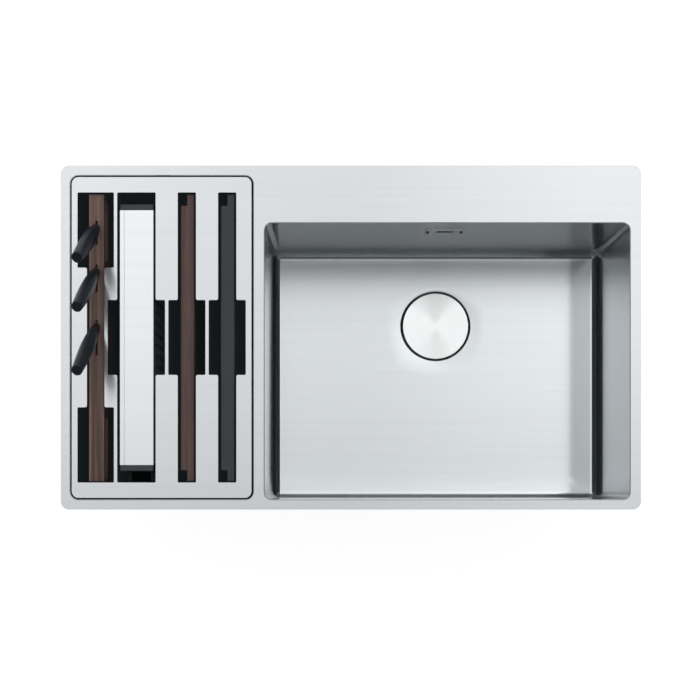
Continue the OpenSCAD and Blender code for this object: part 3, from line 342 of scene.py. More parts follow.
def buildBrushedGrain():
    # fine parallel lines along V of the piece's own map, with slow changes of tone: the tint is
    # 1 plus each noise by its share, and the roughness rises with the lines and the clouds
    group, start = newGroup("brushedGrain", Finish=0.2, Spread=0.05)
    vector = start["Vector"]
    lines = noise(group, vector, brushedMarks["lines"], 4, 0.6)
    streaks = noise(group, vector, brushedMarks["streaks"], 3)
    clouds = noise(group, vector, brushedMarks["clouds"], 3)
    fine, broad, slow = [centred(group, value) for value in (lines, streaks, clouds)]
    tint = 1.0
    for value, share in zip((fine, broad, slow), brushedMarks["tints"]):
        tint = maths(group, "MULTIPLY_ADD", value, share, tint)
    both = maths(group, "MULTIPLY_ADD", slow, brushedMarks["cloudShare"], fine)
    rough = maths(group, "MULTIPLY_ADD", both, start["Spread"], start["Finish"])
    return endGroup(group, Tint=tint, Roughness=rough, Height=lines)


def buildWoodGrain():
    # long fibres along Y, darker growth lines bent by a slow warp, and short open pores
    group, start = newGroup("woodGrain", Dark=(0.05, 0.03, 0.025, 1), Mid=(0.12, 0.075, 0.055, 1),
                            Light=(0.22, 0.15, 0.105, 1))
    vector, dark = start["Vector"], start["Dark"]
    warp = noise(group, vector, woodMarks["warp"], 3)
    push = addNode(group, "CombineXYZ", {
        axis: product(group, warp, reach) for axis, reach in enumerate(woodMarks["warpReach"])})
    bent = addNode(group, "VectorMath", {0: stretched(group, vector, woodMarks["bands"]),
                                         1: push.outputs[0]}, operation="ADD")
    bands = noise(group, bent.outputs[0], 1.0, 4, 0.6)
    fibres = noise(group, vector, woodMarks["fibres"], 3, 0.6)
    pores = remap(group, noise(group, vector, woodMarks["pores"], 1), *woodMarks["poreEdges"])
    light = remap(group, noise(group, vector, woodMarks["light"], 2), *woodMarks["lightEdges"])
    between = remap(group, fibres, *woodMarks["fibreEdges"], woodMarks["fibreShare"])
    tone = mixed(group, "RGBA", remap(group, bands, *woodMarks["bandEdges"]), dark, start["Mid"])
    tone = mixed(group, "RGBA", product(group, light, between), tone, start["Light"])
    tone = mixed(group, "RGBA", product(group, pores, woodMarks["poreDepth"]), tone, dark)
    rough = maths(group, "MULTIPLY_ADD", fibres, *woodMarks["roughness"])
    height = maths(group, "SUBTRACT", product(group, fibres, 0.5), pores)
    return endGroup(group, Color=tone, Roughness=rough, Height=height)


def buildMouldedGrain():
    # pebbled skin with slow drifts of gloss, as on moulded plastic or rubber
    group, start = newGroup("mouldedGrain", Grain=1600.0, Finish=0.5, Spread=0.12)
    vector = start["Vector"]
    pebbles = addNode(group, "TexVoronoi", {"Vector": vector, "Scale": start["Grain"]},
                      feature="SMOOTH_F1")
    drift = centred(group, noise(group, vector, mouldedMarks["clouds"], 4))
    speck = centred(group, noise(group, vector, mouldedMarks["specks"], 2))
    rough = maths(group, "MULTIPLY_ADD", drift, start["Spread"], start["Finish"])
    tint = maths(group, "MULTIPLY_ADD", maths(group, "ADD", drift, speck),
                 mouldedMarks["tint"], 1.0)
    return endGroup(group, Tint=tint, Roughness=rough, Height=pebbles.outputs["Distance"])


grains = {
    "brushed": buildBrushedGrain(),
    "wood": buildWoodGrain(),
    "moulded": buildMouldedGrain(),
}
print("node groups:", ", ".join(grains))


# finish is the roughness, smear how far brushed lines draw out what the steel mirrors, grain
# the pebbles in a metre and relief the strength of the bumps; centre is the wood pattern's own
steels = {
    # shade is painted shade on faces that look along X and Y: the deck's and the plate's cut edges,
    # and the walls of the bowl and the well
    "brushedSteel": {"color": (0.680, 0.700, 0.716), "shade": (0.85, 0.75), "metallic": 0.8},
    "bowlSteel": {"color": (0.700, 0.728, 0.744), "finish": 0.19, "shade": (0.32, 0.05)},
    # sectors paints shade to the front and the back of the drain cover's middle
    "turnedSteel": {"color": (0.98, 0.985, 0.99), "finish": 0.25, "turned": True,
                    "sectors": 0.11},
    # rimsBelow paints shade on the colander's level faces below -10 mm, such as the rims of its
    # holes
    "colanderSteel": {"color": (0.78, 0.80, 0.815), "finish": 0.24, "smear": 0.9,
                      "rimsBelow": -10.0},
    # painted shadow: dark steel for the band under the organiser plate's edge, which is only in
    # shade
    "shadedSteel": {"color": (0.13, 0.14, 0.15), "finish": 0.14, "smear": 0.0, "spread": 0.02},
    "bladeSteel": {"color": (0.62, 0.625, 0.635), "finish": 0.22, "smear": 0.9},
    "platedSteel": {"color": (0.56, 0.565, 0.58), "finish": 0.34, "smear": 0.2, "spread": 0.10},
}
mouldings = {
    "blackPlastic": {"color": (0.035, 0.040, 0.043), "finish": 0.48},
    # the insert's lift is a painted glow that keeps its deep bays from going black
    "insertPlastic": {"color": (0.020, 0.025, 0.029), "finish": 0.55, "specular": 0.3,
                      "lift": 0.008},
    "pipePlastic": {"color": (0.03, 0.032, 0.035), "finish": 0.38, "grain": 2200,
                    "relief": 0.12},
    "ringRubber": {"color": (0.055, 0.060, 0.063), "finish": 0.6, "grain": 1200},
    "softRubber": {"color": (0.024, 0.024, 0.026), "finish": 0.75, "grain": 1200,
                   "relief": 0.35, "specular": 0.35},
    "soundPad": {"color": (0.035, 0.036, 0.04), "finish": 0.8, "grain": 450, "relief": 0.6,
                 "specular": 0.3},
    "rimFoam": {"color": (0.06, 0.062, 0.065), "finish": 0.9, "grain": 2600, "relief": 0.8,
                "specular": 0.2},
    # the board's lift is a painted glow that keeps its shaded sides from going black
    "graphiteBoard": {"color": (0.026, 0.032, 0.034), "finish": 0.55, "grain": 1300,
                      "relief": 0.3, "lift": 0.008},
    "handleBlack": {"color": (0.008, 0.012, 0.019), "finish": 0.34, "grain": 1800,
                    "relief": 0.08, "specular": 0.22},
}
woods = {
    # the block's centre was picked to put the wood's own broad lighter stretches at its back and
    # darker ones at its front: the grain is real, its placement is painted light falling off
    # towards the front
    "walnutBlock": {"dark": (0.046, 0.025, 0.022), "mid": (0.140, 0.076, 0.060),
                    "light": (0.27, 0.175, 0.125), "centre": (-0.378, 0.9, 0)},
    "walnutBoard": {"dark": (0.026, 0.013, 0.012), "mid": (0.066, 0.034, 0.029),
                    "light": (0.125, 0.074, 0.056), "centre": (-0.243, 0.3, 0)},
}
# the cool tone of the painted glow that lift gives
paintedGlowColor = (0.7, 0.95, 1.15, 1)
rimFade = 5 * mm                     # height over which the painted shade of paintedRimShade sets in
sectorPower = 3.0                    # the higher, the narrower the sectors of painted shade


def startMaterial(name, color, metallic=0.0, specular=0.5, lift=0.0):
    # lift is a painted glow, a very faint cool light of its own, so that deep bays and shaded sides
    # keep a tone
    paint = bpy.data.materials.new(name)
    paint.use_nodes = True
    paint.diffuse_color = (*color, 1)
    shader = paint.node_tree.nodes["Principled BSDF"]
    shader.inputs["Base Color"].default_value = (*color, 1)
    shader.inputs["Metallic"].default_value = metallic
    shader.inputs["Specular IOR Level"].default_value = specular
    shader.inputs["Emission Color"].default_value = paintedGlowColor
    shader.inputs["Emission Strength"].default_value = lift
    return paint, paint.node_tree, shader


def placed(tree, centre=(0, 0, 0)):
    # Object coordinates, centred on a point of the piece
    place = addNode(tree, "TexCoord").outputs["Object"]
    return addNode(tree, "Mapping", {"Vector": place,
                                     "Location": tuple(-c for c in centre)}).outputs[0]


def facing(tree):
    return addNode(tree, "TexCoord").outputs["Normal"]


def useGroup(tree, kind, vector, **values):
    return addNode(tree, "Group", {"Vector": vector, **values}, node_tree=grains[kind]).outputs


def tinted(tree, shader, color, tint):
    base = addNode(tree, "VectorMath", {0: color, "Scale": tint}, operation="SCALE")
    tree.links.new(base.outputs[0], shader.inputs["Base Color"])


def roughened(tree, shader, grain, strength, depth):
    tree.links.new(grain["Roughness"], shader.inputs["Roughness"])
    bumps = addNode(tree, "Bump", {"Height": grain["Height"], "Strength": strength,
                                   "Distance": depth * mm})
    tree.links.new(bumps.outputs[0], shader.inputs["Normal"])


def paintedSideShade(tree, shares):
    # painted shade: darker where the face looks along X and along Y, on cut edges and on upright
    # walls
    away = addNode(tree, "VectorMath", {0: facing(tree)}, operation="ABSOLUTE")
    darker = addNode(tree, "VectorMath", {0: away.outputs[0], 1: (-shares[0], -shares[1], 0)},
                     operation="DOT_PRODUCT")
    return maths(tree, "ADD", darker.outputs["Value"], 1.0)


def paintedRimShade(tree, top):
    # painted shade: faces that look up or down, below a height in mm, are darkened towards black,
    # as the rims of holes deep in a bay are only in the shade of the gap beside the piece
    height = addNode(tree, "SeparateXYZ", {0: placed(tree)}).outputs["Z"]
    level = addNode(tree, "SeparateXYZ", {0: facing(tree)}).outputs["Z"]
    below = fade(tree, height, (top * mm - rimFade, top * mm), True)
    return maths(tree, "SUBTRACT", 1.0, product(tree, below, maths(tree, "ABSOLUTE", level)))


def paintedSectorShade(tree, share):
    # painted shade: the cover's turned face is a little darker to the front and the back of its
    # middle, standing in for the darker sectors of a turned face's reflection
    middle = tuple(np.mean(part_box("drain_cover"), axis=0))
    away = addNode(tree, "VectorMath", {0: placed(tree, middle)}, operation="NORMALIZE")
    front = addNode(tree, "SeparateXYZ", {0: away.outputs[0]}).outputs["Y"]
    front = maths(tree, "POWER", maths(tree, "ABSOLUTE", front), sectorPower)
    return maths(tree, "SUBTRACT", 1.0, product(tree, front, share))


def steelMaterial(name, color, finish=0.20, smear=0.96, spread=0.05, metallic=1.0, turned=False,
                  shade=None, sectors=None, rimsBelow=None, relief=(0.04, 0.1)):
    # brushed lines along V of the map "grain" smear what the steel mirrors along U;
    # on a turned piece V goes round, and the lines are rings
    paint, tree, shader = startMaterial(name, color, metallic)
    shader.inputs["Anisotropic"].default_value = smear
    tangent = addNode(tree, "Tangent", direction_type="UV_MAP", uv_map="grain")
    tree.links.new(tangent.outputs[0], shader.inputs["Tangent"])
    place = addNode(tree, "UVMap", uv_map="grain").outputs[0]
    if turned:
        place = stretched(tree, place, (1, 0, 0))
    grain = useGroup(tree, "brushed", place, Finish=finish, Spread=spread)
    tint = grain["Tint"]
    # painted shade: shade, rimsBelow and sectors scale down the tint by the face's facing, by its
    # height and round the cover's middle
    for shading, value in ((paintedSideShade, shade), (paintedRimShade, rimsBelow), (paintedSectorShade, sectors)):
        if value is not None:
            tint = product(tree, tint, shading(tree, value))
    tinted(tree, shader, color, tint)
    roughened(tree, shader, grain, *relief)
    return paint


def mouldedMaterial(name, color, finish, grain=1600, relief=0.2, specular=0.5, lift=0.0,
                    depth=0.15):
    paint, tree, shader = startMaterial(name, color, specular=specular, lift=lift)
    skin = useGroup(tree, "moulded", placed(tree), Grain=grain, Finish=finish)
    tinted(tree, shader, color, skin["Tint"])
    roughened(tree, shader, skin, relief, depth)
    return paint


# walnut keeps a faint painted glow by default, through lift
def walnutMaterial(name, dark, mid, light, centre, specular=0.4, lift=0.004, relief=(0.35, 0.12)):
    paint, tree, shader = startMaterial(name, mid, specular=specular, lift=lift)
    grain = useGroup(tree, "wood", placed(tree, centre), Dark=(*dark, 1), Mid=(*mid, 1),
                     Light=(*light, 1))
    tree.links.new(grain["Color"], shader.inputs["Base Color"])
    roughened(tree, shader, grain, *relief)
    return paint


finishes = {}
for make, kinds in ((steelMaterial, steels), (mouldedMaterial, mouldings),
                    (walnutMaterial, woods)):
    for name, values in kinds.items():
        finishes[name] = make(name, **values)
print("materials:", len(finishes))


# a part is its points in mm, its faces and, where grainMap doesn't give them, the places of
# each face's corners on the map "grain"
weldDistance = 0.002 * mm
turnedMap = 0.02                     # metres on the map for each radian of turn
copies = {
    "flatAngle": 0.8,                # degrees up to which neighbouring faces become one
    "sharpAngle": 30,
    "cornerAngle": 1.2,              # radians; upright edges sharper than this are corners
    "uprightShare": 0.9,             # least height of such an edge, by its length
    "cornerSteps": 4,
}


def gridFaces(rows, columns, flip=False):
    # quads between neighbours of a closed rows x columns grid, and the row and column of each
    # corner; the column numbers run on past the last column, which joins the first
    row, column = np.meshgrid(np.arange(rows - 1), np.arange(columns), indexing="ij")
    rowOf = np.stack([row, row, row + 1, row + 1], -1).reshape(-1, 4)
    columnOf = np.stack([column, column + 1, column + 1, column], -1).reshape(-1, 4)
    if flip:
        rowOf, columnOf = rowOf[:, ::-1], columnOf[:, ::-1]
    return rowOf * columns + columnOf % columns, rowOf, columnOf


def grainMap(mesh):
    # U across the brushed lines and V along them: along X on level faces, level on upright ones
    count = len(mesh.polygons)
    normals = np.empty(count * 3, np.float32)
    mesh.polygons.foreach_get("normal", normals)
    totals = np.empty(count, np.int32)
    mesh.polygons.foreach_get("loop_total", totals)
    corners = np.empty(len(mesh.loops), np.int32)
    mesh.loops.foreach_get("vertex_index", corners)
    places = np.empty(len(mesh.vertices) * 3, np.float32)
    mesh.vertices.foreach_get("co", places)
    x, y, z = places.reshape(-1, 3)[corners].T
    facing = np.repeat(np.abs(normals.reshape(-1, 3)).argmax(1), totals)
    across = np.where(facing == 2, y, z)
    along = np.where(facing == 0, y, x)
    fillMap(mesh, np.stack([across, along], 1))


def fillMap(mesh, places):
    layer = mesh.uv_layers.new(name="grain")
    layer.data.foreach_set("uv", np.asarray(places, np.float32).ravel())


def finishedPiece(name, mesh, finish, smoothAngle):
    # the mesh's object, which stays at the origin, smooth except at edges sharper than an angle
    mesh.materials.clear()
    mesh.materials.append(finishes[finish])
    mesh.shade_smooth()
    mesh.set_sharp_from_angle(angle=math.radians(smoothAngle))
    return linkObject(name, mesh)


def meshPiece(name, part, finish, smoothAngle=35):
    points, faces, *places = part
    mesh = bpy.data.meshes.new(name)
    mesh.from_pydata((np.asarray(points) * mm).tolist(), [], np.asarray(faces).tolist())
    if places:
        fillMap(mesh, places[0])
    else:
        grainMap(mesh)
    bm = bmesh.new()
    bm.from_mesh(mesh)
    bmesh.ops.remove_doubles(bm, verts=bm.verts, dist=weldDistance)
    bm.to_mesh(mesh)
    bm.free()
    return finishedPiece(name, mesh, finish, smoothAngle)


def lathe(profile, columns, ridges=0, ridgeDepth=0.0, ridgedRows=()):
    # (radius, height) points turned round the z axis; the profile runs counter-clockwise as seen
    # with the radius to the right, and the named rows are drawn in between the ridges
    profile = np.asarray(profile, float)
    turn = np.linspace(0, 2 * np.pi, columns + 1)
    radius = np.repeat(profile[:, :1], columns + 1, 1)
    for row in ridgedRows:
        radius[row] -= ridgeDepth * (0.5 - 0.5 * np.cos(ridges * turn))
    height = np.repeat(profile[:, 1:], columns + 1, 1)
    points = np.stack([radius * np.cos(turn), radius * np.sin(turn), height], -1)
    faces, rowOf, columnOf = gridFaces(len(profile), columns)
    run = np.concatenate([[0], np.cumsum(np.linalg.norm(np.diff(profile, axis=0), axis=1))])
    places = np.stack([run[rowOf] * mm, turn[columnOf] * turnedMap], -1)
    return points[:, :-1].reshape(-1, 3), faces, places


def cellBlock(xs, ys, zs, solid):
    # the faces between full and empty cells of an uneven grid, turned outwards
    full = np.zeros([count + 2 for count in solid.shape], bool)
    full[1:-1, 1:-1, 1:-1] = solid
    points = np.stack(np.meshgrid(xs, ys, zs, indexing="ij"), -1).reshape(-1, 3)
    number = np.arange(len(points)).reshape(len(xs), len(ys), len(zs))
    faces = []
    for axis in range(3):
        cells = np.moveaxis(full, axis, 0)[:, 1:-1, 1:-1]
        corner = np.moveaxis(number, axis, 0)
        quads = np.stack([corner[:, :-1, :-1], corner[:, 1:, :-1], corner[:, 1:, 1:],
                          corner[:, :-1, 1:]], -1)
        if axis == 1:
            quads = quads[..., ::-1]
        faces += [quads[cells[:-1] & ~cells[1:]], quads[~cells[:-1] & cells[1:]][:, ::-1]]
    used, faces = np.unique(np.concatenate(faces), return_inverse=True)
    return points[used], faces.reshape(-1, 4)


def joined(*parts):
    counts = np.cumsum([0] + [len(part[0]) for part in parts])
    return (np.concatenate([part[0] for part in parts]),
            np.concatenate([part[1] + start for part, start in zip(parts, counts)]),
            np.concatenate([part[2] for part in parts]))


def moved(part, offset, order=(0, 1, 2), signs=(1, 1, 1)):
    # a part's points with its axes reordered, turned and moved; its faces stay outwards
    points, faces, places = part
    points = points[:, order] * signs + np.asarray(offset)
    handed = np.linalg.det(np.eye(3)[list(order)] * np.array(signs)[:, None])
    if handed < 0:
        faces, places = faces[:, ::-1], places[:, ::-1]
    return points, faces, places


def mount(piece, node):
    # the piece stands for its node, and rides on the node's body
    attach(piece, bodyOf[node])
    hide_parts(node)
    return piece


def roundEdges(piece, width, segments):
    rounding = piece.modifiers.new("roundEdges", "BEVEL")
    rounding.width = width * mm
    rounding.segments = segments
    rounding.limit_method = "ANGLE"
    rounding.angle_limit = math.radians(copies["sharpAngle"])
    rounding.harden_normals = True
    rounding.use_clamp_overlap = True


def roundCorners(bm, width):
    # an arc in place of each sharp upright edge
    corners = [edge for edge in bm.edges if len(edge.link_faces) == 2
               and edge.calc_face_angle() > copies["cornerAngle"]
               and abs(edge.verts[0].co.z - edge.verts[1].co.z)
               > copies["uprightShare"] * edge.calc_length()]
    bmesh.ops.bevel(bm, geom=corners, offset=width * mm, segments=copies["cornerSteps"],
                    profile=0.5, affect="EDGES")


def dressedCopy(name, node, finish, slot, width, segments, cuts=(), reshape=None, corner=0.0):
    # the node's own triangles, merged, with flat faces joined and edges rounded; cuts are
    # places along X where faces are split, reshape moves points, given in mm, and corner
    # rounds the sharp corners of a sheet's openings
    mesh = nodes[node].data.copy()
    mesh.name = name
    bm = bmesh.new()
    bm.from_mesh(mesh)
    bmesh.ops.remove_doubles(bm, verts=bm.verts, dist=weldDistance)
    bmesh.ops.dissolve_limit(bm, angle_limit=math.radians(copies["flatAngle"]), verts=bm.verts,
                             edges=bm.edges)
    if corner:
        roundCorners(bm, corner)
    for place in cuts:
        bmesh.ops.bisect_plane(bm, geom=bm.verts[:] + bm.edges[:] + bm.faces[:],
                               plane_co=(place * mm, 0, 0), plane_no=(1, 0, 0))
    bm.to_mesh(mesh)
    bm.free()
    if "custom_normal" in mesh.attributes:
        mesh.attributes.remove(mesh.attributes["custom_normal"])
    if reshape:
        places = np.empty(len(mesh.vertices) * 3)
        mesh.vertices.foreach_get("co", places)
        shaped = reshape(places.reshape(-1, 3) / mm) * mm
        mesh.vertices.foreach_set("co", shaped.ravel())
        mesh.update()
    grainMap(mesh)
    piece = finishedPiece(name, mesh, finish, copies["sharpAngle"])
    if width:
        roundEdges(piece, width, segments)
    return mount(piece, node)


def size(node):
    # lowest and highest corner of a node, in mm
    low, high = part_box(node)
    return np.array(low) / mm, np.array(high) / mm


def radiusOf(node, axis=0):
    low, high = size(node)
    return (high - low)[axis] / 2


def middleOf(node):
    return sum(size(node)) / 2


# the bowl and the well, sizes in mm
basins = {
    "wall": 1.0,             # sheet thickness
    "bowlRadius": 12.0,
    "wellRadius": 13.0,
    "wasteStep": 3.0,        # degrees between columns, seen from the waste
    "leastSteps": 4,         # along a side
    "keptGap": 2.5,          # columns stay this far from the ones at the overflow's slot
    "cornerSteps": 8,
    "coveSteps": 9,
    "floorRows": 9,
    "wallRows": (-14.0, -50.0, -110.0, -160.0),
    "recess": [(59.9, 0.0), (59.35, -0.15), (59.05, -0.6), (59.0, -6.4), (58.4, -7.5),
               (57.2, -8.0), (52.0, -8.0), (45.0, -8.0)],     # radius and drop at the waste
    "plainHole": [(22.0, 0.0), (20.0, 0.0)],
    "slotHalf": (18.0, 9.0), # half the overflow's slot
    "slotMargin": 0.5,       # a row this near to each open edge keeps its rounding narrow
    "padThickness": 2.0,
}


def sideStops(start, end, reach, centre, keep=()):
    # places along a side at equal angles as seen from the waste, with the kept ones exact
    low = math.atan2(start - centre, reach)
    high = math.atan2(end - centre, reach)
    steps = math.ceil(abs(high - low) / math.radians(basins["wasteStep"]))
    steps = max(basins["leastSteps"], steps)
    stops = centre + reach * np.tan(np.linspace(low, high, steps + 1))
    if keep:
        clear = np.abs(stops[:, None] - np.array(keep)).min(1) > basins["keptGap"]
        stops = np.sort(np.concatenate([stops[clear], keep]))
    return stops


def outlineColumns(box, radius, centre, keepBack):
    # points round the opening and the inward direction at each, counter-clockwise from front left
    x0, x1, y0, y1 = box
    cx, cy = centre
    left, right, front, back = x0 + radius, x1 - radius, y0 + radius, y1 - radius
    points = []
    inward = []
    sides = [
        (sideStops(left, right, cy - y0, cx), lambda s: (s, y0), (0, 1)),
        (sideStops(front, back, x1 - cx, cy), lambda s: (x1, s), (-1, 0)),
        (sideStops(left, right, y1 - cy, cx, keepBack)[::-1], lambda s: (s, y1), (0, -1)),
        (sideStops(front, back, cx - x0, cy)[::-1], lambda s: (x0, s), (1, 0)),
    ]
    corners = [(right, front, -90), (right, back, 0), (left, back, 90), (left, front, 180)]
    for (stops, at, direction), (kx, ky, first) in zip(sides, corners):
        points += [at(s) for s in stops]
        inward += [direction] * len(stops)
        turn = np.radians(first + np.linspace(0, 90, basins["cornerSteps"] + 1)[1:-1])
        points += list(zip(kx + radius * np.cos(turn), ky + radius * np.sin(turn)))
        inward += list(zip(-np.cos(turn), -np.sin(turn)))
    return np.array(points), np.array(inward)


def wallProfile(radius, rimZ, floorZ, slot):
    # (inset, height) of the wall's rows and the quarter-round cove; the slot's rows take the
    # place of the second of the wall's own
    margin = basins["slotMargin"]
    first, second, *lower = basins["wallRows"]
    middle = [slot[3] + margin, slot[3], slot[2], slot[2] - margin] if slot else [second]
    turn = np.linspace(0, np.pi / 2, basins["coveSteps"] + 1)
    cove = zip(radius * (1 - np.cos(turn)), floorZ + radius * (1 - np.sin(turn)))
    return [(0.0, z) for z in [rimZ, rimZ - margin, first] + middle + lower] + list(cove)


def basinShell(name, node, radius, floorZ, centre, hole, slot=None):
    # walls, a quarter-round cove, a floor blended from the corners to the waste, and its recess;
    # slot is the left, right, lower and upper edge of the overflow's opening in the back wall
    low, high = size(node)
    wall, margin = basins["wall"], basins["slotMargin"]
    backY = high[1] - wall
    keep = (slot[0] - margin, slot[0], slot[1], slot[1] + margin) if slot else ()
    box = (low[0] + wall, high[0] - wall, low[1] + wall, backY)
    points, inward = outlineColumns(box, radius, centre, keep)
    profile = wallProfile(radius, high[2], floorZ, slot)
    rows = [np.column_stack([points + inward * inset, np.full(len(points), z)])
            for inset, z in profile]
    edge = rows[-1][:, :2]
    away = edge - np.array(centre)
    circle = away / np.linalg.norm(away, axis=1, keepdims=True)
    first = np.array(centre) + circle * hole[0][0]
    for share in np.linspace(0, 1, basins["floorRows"] + 1)[1:-1]:
        rows.append(np.column_stack([edge + (first - edge) * share, np.full(len(edge), floorZ)]))
    for holeRadius, drop in hole:
        rows.append(np.column_stack([np.array(centre) + circle * holeRadius,
                                     np.full(len(edge), floorZ + drop)]))
    grid = np.array(rows)
    faces, _, _ = gridFaces(len(rows), len(points), flip=True)
    # the sheet unfolded: the floor's lines run on up the side walls, and level round the others
    inset, heights = np.array(profile).T
    steps = np.hypot(np.diff(inset), np.diff(heights))
    climb = np.zeros(len(rows))
    climb[:len(profile)] = np.concatenate([np.cumsum(steps[::-1])[::-1], [0]])
    flat = grid[:, :, :2].copy()
    flat[:len(profile)] = edge
    unfolded = flat - inward * climb[:, None, None]
    places = (unfolded[:, :, ::-1] * mm).reshape(-1, 2)[faces]
    if slot:
        x, y, z = grid.reshape(-1, 3)[faces].mean(1).T
        outside = ((np.abs(y - backY) > 0.1) | (x < slot[0]) | (x > slot[1]) | (z < slot[2])
                   | (z > slot[3]))
        faces, places = faces[outside], places[outside]
    piece = meshPiece(name, (grid.reshape(-1, 3), faces, places), "bowlSteel")
    sheet = piece.modifiers.new("sheet", "SOLIDIFY")
    sheet.thickness = wall * mm
    sheet.offset = -1
    sheet.use_even_offset = True
    mount(piece, node)


def buildBasins():
    wasteX, wasteY, _ = middleOf("waste_flange")
    slotZ = middleOf("overflow_cover")[2]
    floorZ = size("bowl_sound_pads")[0][2] + basins["padThickness"] + basins["wall"]
    halfX, halfZ = basins["slotHalf"]
    basinShell("bowlShell", "main_bowl", basins["bowlRadius"], floorZ, (wasteX, wasteY),
               basins["recess"], (wasteX - halfX, wasteX + halfX, slotZ - halfZ, slotZ + halfZ))
    drainX, drainY, _ = middleOf("well_waste_flange")
    basinShell("wellShell", "accessory_well", basins["wellRadius"],
               size("accessory_well")[0][2] + basins["wall"], (drainX, drainY),
               basins["plainHole"])


buildBasins()
print("bowl and well built")


# the knives, sizes in mm
knives = {
    "at": {"large": 0.0, "middle": 88.0, "small": 156.0},    # place of each along the block
    "blade": {"large": (190, 43), "middle": (150, 33), "small": (76, 28)},
    "lean": 30,              # degrees, out of the block to the front
    "bladeFull": -14.0,      # the blade's full width ends here, below the block's top
    "bladeNeck": -4.0,
    "tang": (5.2, 14.0),     # half its width, and how far it runs out of the block
    "backInset": 7.8,        # from a blade's back to the middle of its tang and its handle's foot
    "bladeHalf": 1.0,        # half the blade's thickness
    "belly": 0.5,            # share of the blade's length where its edge bends up to the tip
    "drop": (0.55, 0.45),    # from which share of it the spine falls, and by which of its width
    "tip": 0.05,             # share of its width by which the tip is above the blade's middle
    "bladeRows": (28, 14),   # along the bend and along the straight
    "grind": 0.42,           # share of the width from which the sides fall to the edge
    "grindStops": (0.55, 0.7, 0.85, 1.0),
    "spineStop": 0.015,      # share of the width that the rounded spine takes
    "spineHalf": 0.7,        # share of the thickness that is left there
    "edgeHalf": 0.04,        # and at the edge
    "footGap": 1.0,          # from the block's top to the handle's foot
    "handleStart": 8.0,
    "handleLength": 114.0,
    "thickness": (18.0, 0.60, 0.82),   # full size, and its shares at the foot and the head
    "width": (25.0, 0.52, 0.60),
    "fullAt": 0.45,
    "facet": 1.40,           # how far the corners are cut; 2 leaves them whole
    "softness": 16,          # the higher, the crisper the facets' edges
    "endRound": 1.6,
    "endSteps": 6,
    "handleGrid": (42, 64),  # stops along it, and columns round it
    "smoothAngles": (28, 24),    # degrees, for a handle and for a blade
}


def handleHalf(share, full, foot, head):
    # half a handle's size at a share of its length: narrow at both ends, full between
    peak = knives["fullAt"]
    low = foot + (1 - foot) * np.sin(np.clip(share / peak, 0, 1) * np.pi / 2)
    high = head + (1 - head) * np.cos((share - peak) / (1 - peak) * np.pi / 2)
    return full / 2 * np.where(share < peak, low, high)


def footShift(kind):
    # how far the tang and the handle's foot lie behind the middle of the blade
    return knives["blade"][kind][1] / 2 - knives["backInset"]


def leaned(points, kind):
    # from a knife's own frame, with +Z out of the block, to the sink's
    lean = math.radians(knives["lean"])
    x, y, z = points[..., 0], points[..., 1], points[..., 2]
    blockTop = size("knife_block")[1][2]
    return np.stack([x + middleOf("knife_block")[0],
                     y * math.cos(lean) - z * math.sin(lean) + knives["at"][kind],
                     y * math.sin(lean) + z * math.cos(lean) + blockTop], -1)


def handlePart(kind):
    # a rounded octagon whose width and thickness swell and taper from foot to head; the foot is
    # slanted, so that it lies level over the block, and both ends are flat with a round edge
    stops, columns = knives["handleGrid"]
    turn = np.linspace(0, 2 * np.pi, columns + 1)[:-1]
    c, s = np.cos(turn), np.sin(turn)
    power, cut = knives["softness"], knives["facet"]
    reach = (np.abs(c) ** power + np.abs(s) ** power + np.abs((c + s) / cut) ** power
             + np.abs((c - s) / cut) ** power) ** (-1 / power)
    quarter = np.linspace(0, np.pi / 2, knives["endSteps"])
    edge, length = knives["endRound"], knives["handleStart"] + knives["handleLength"]
    rise = edge * (1 - np.cos(quarter)) / length
    drawn = edge * (1 - np.sin(quarter))
    body = np.linspace(edge / length, 1 - edge / length, stops)[1:-1]
    share = np.concatenate([[0, 0], rise, body, 1 - rise[::-1], [1, 1]])
    inset = np.concatenate([[edge, edge], drawn, 0 * body, drawn[::-1], [edge, edge]])
    spread = np.concatenate([[0, 0.5], np.ones(len(share) - 4), [0.5, 0]])
    halfX = (handleHalf(share, *knives["thickness"]) - inset) * spread
    halfY = (handleHalf(share, *knives["width"]) - inset) * spread
    x = halfX[:, None] * reach * c
    y = halfY[:, None] * reach * s + footShift(kind) * (1 - share)[:, None]
    lean = math.radians(knives["lean"])
    foot = (knives["footGap"] - y * math.sin(lean)) / math.cos(lean)
    z = foot + share[:, None] * (length - foot)
    points = leaned(np.stack([x, y, z], -1), kind).reshape(-1, 3)
    faces, rowOf, columnOf = gridFaces(len(share), columns)
    return points, faces, np.stack([share[rowOf], turn[columnOf % columns]], -1)


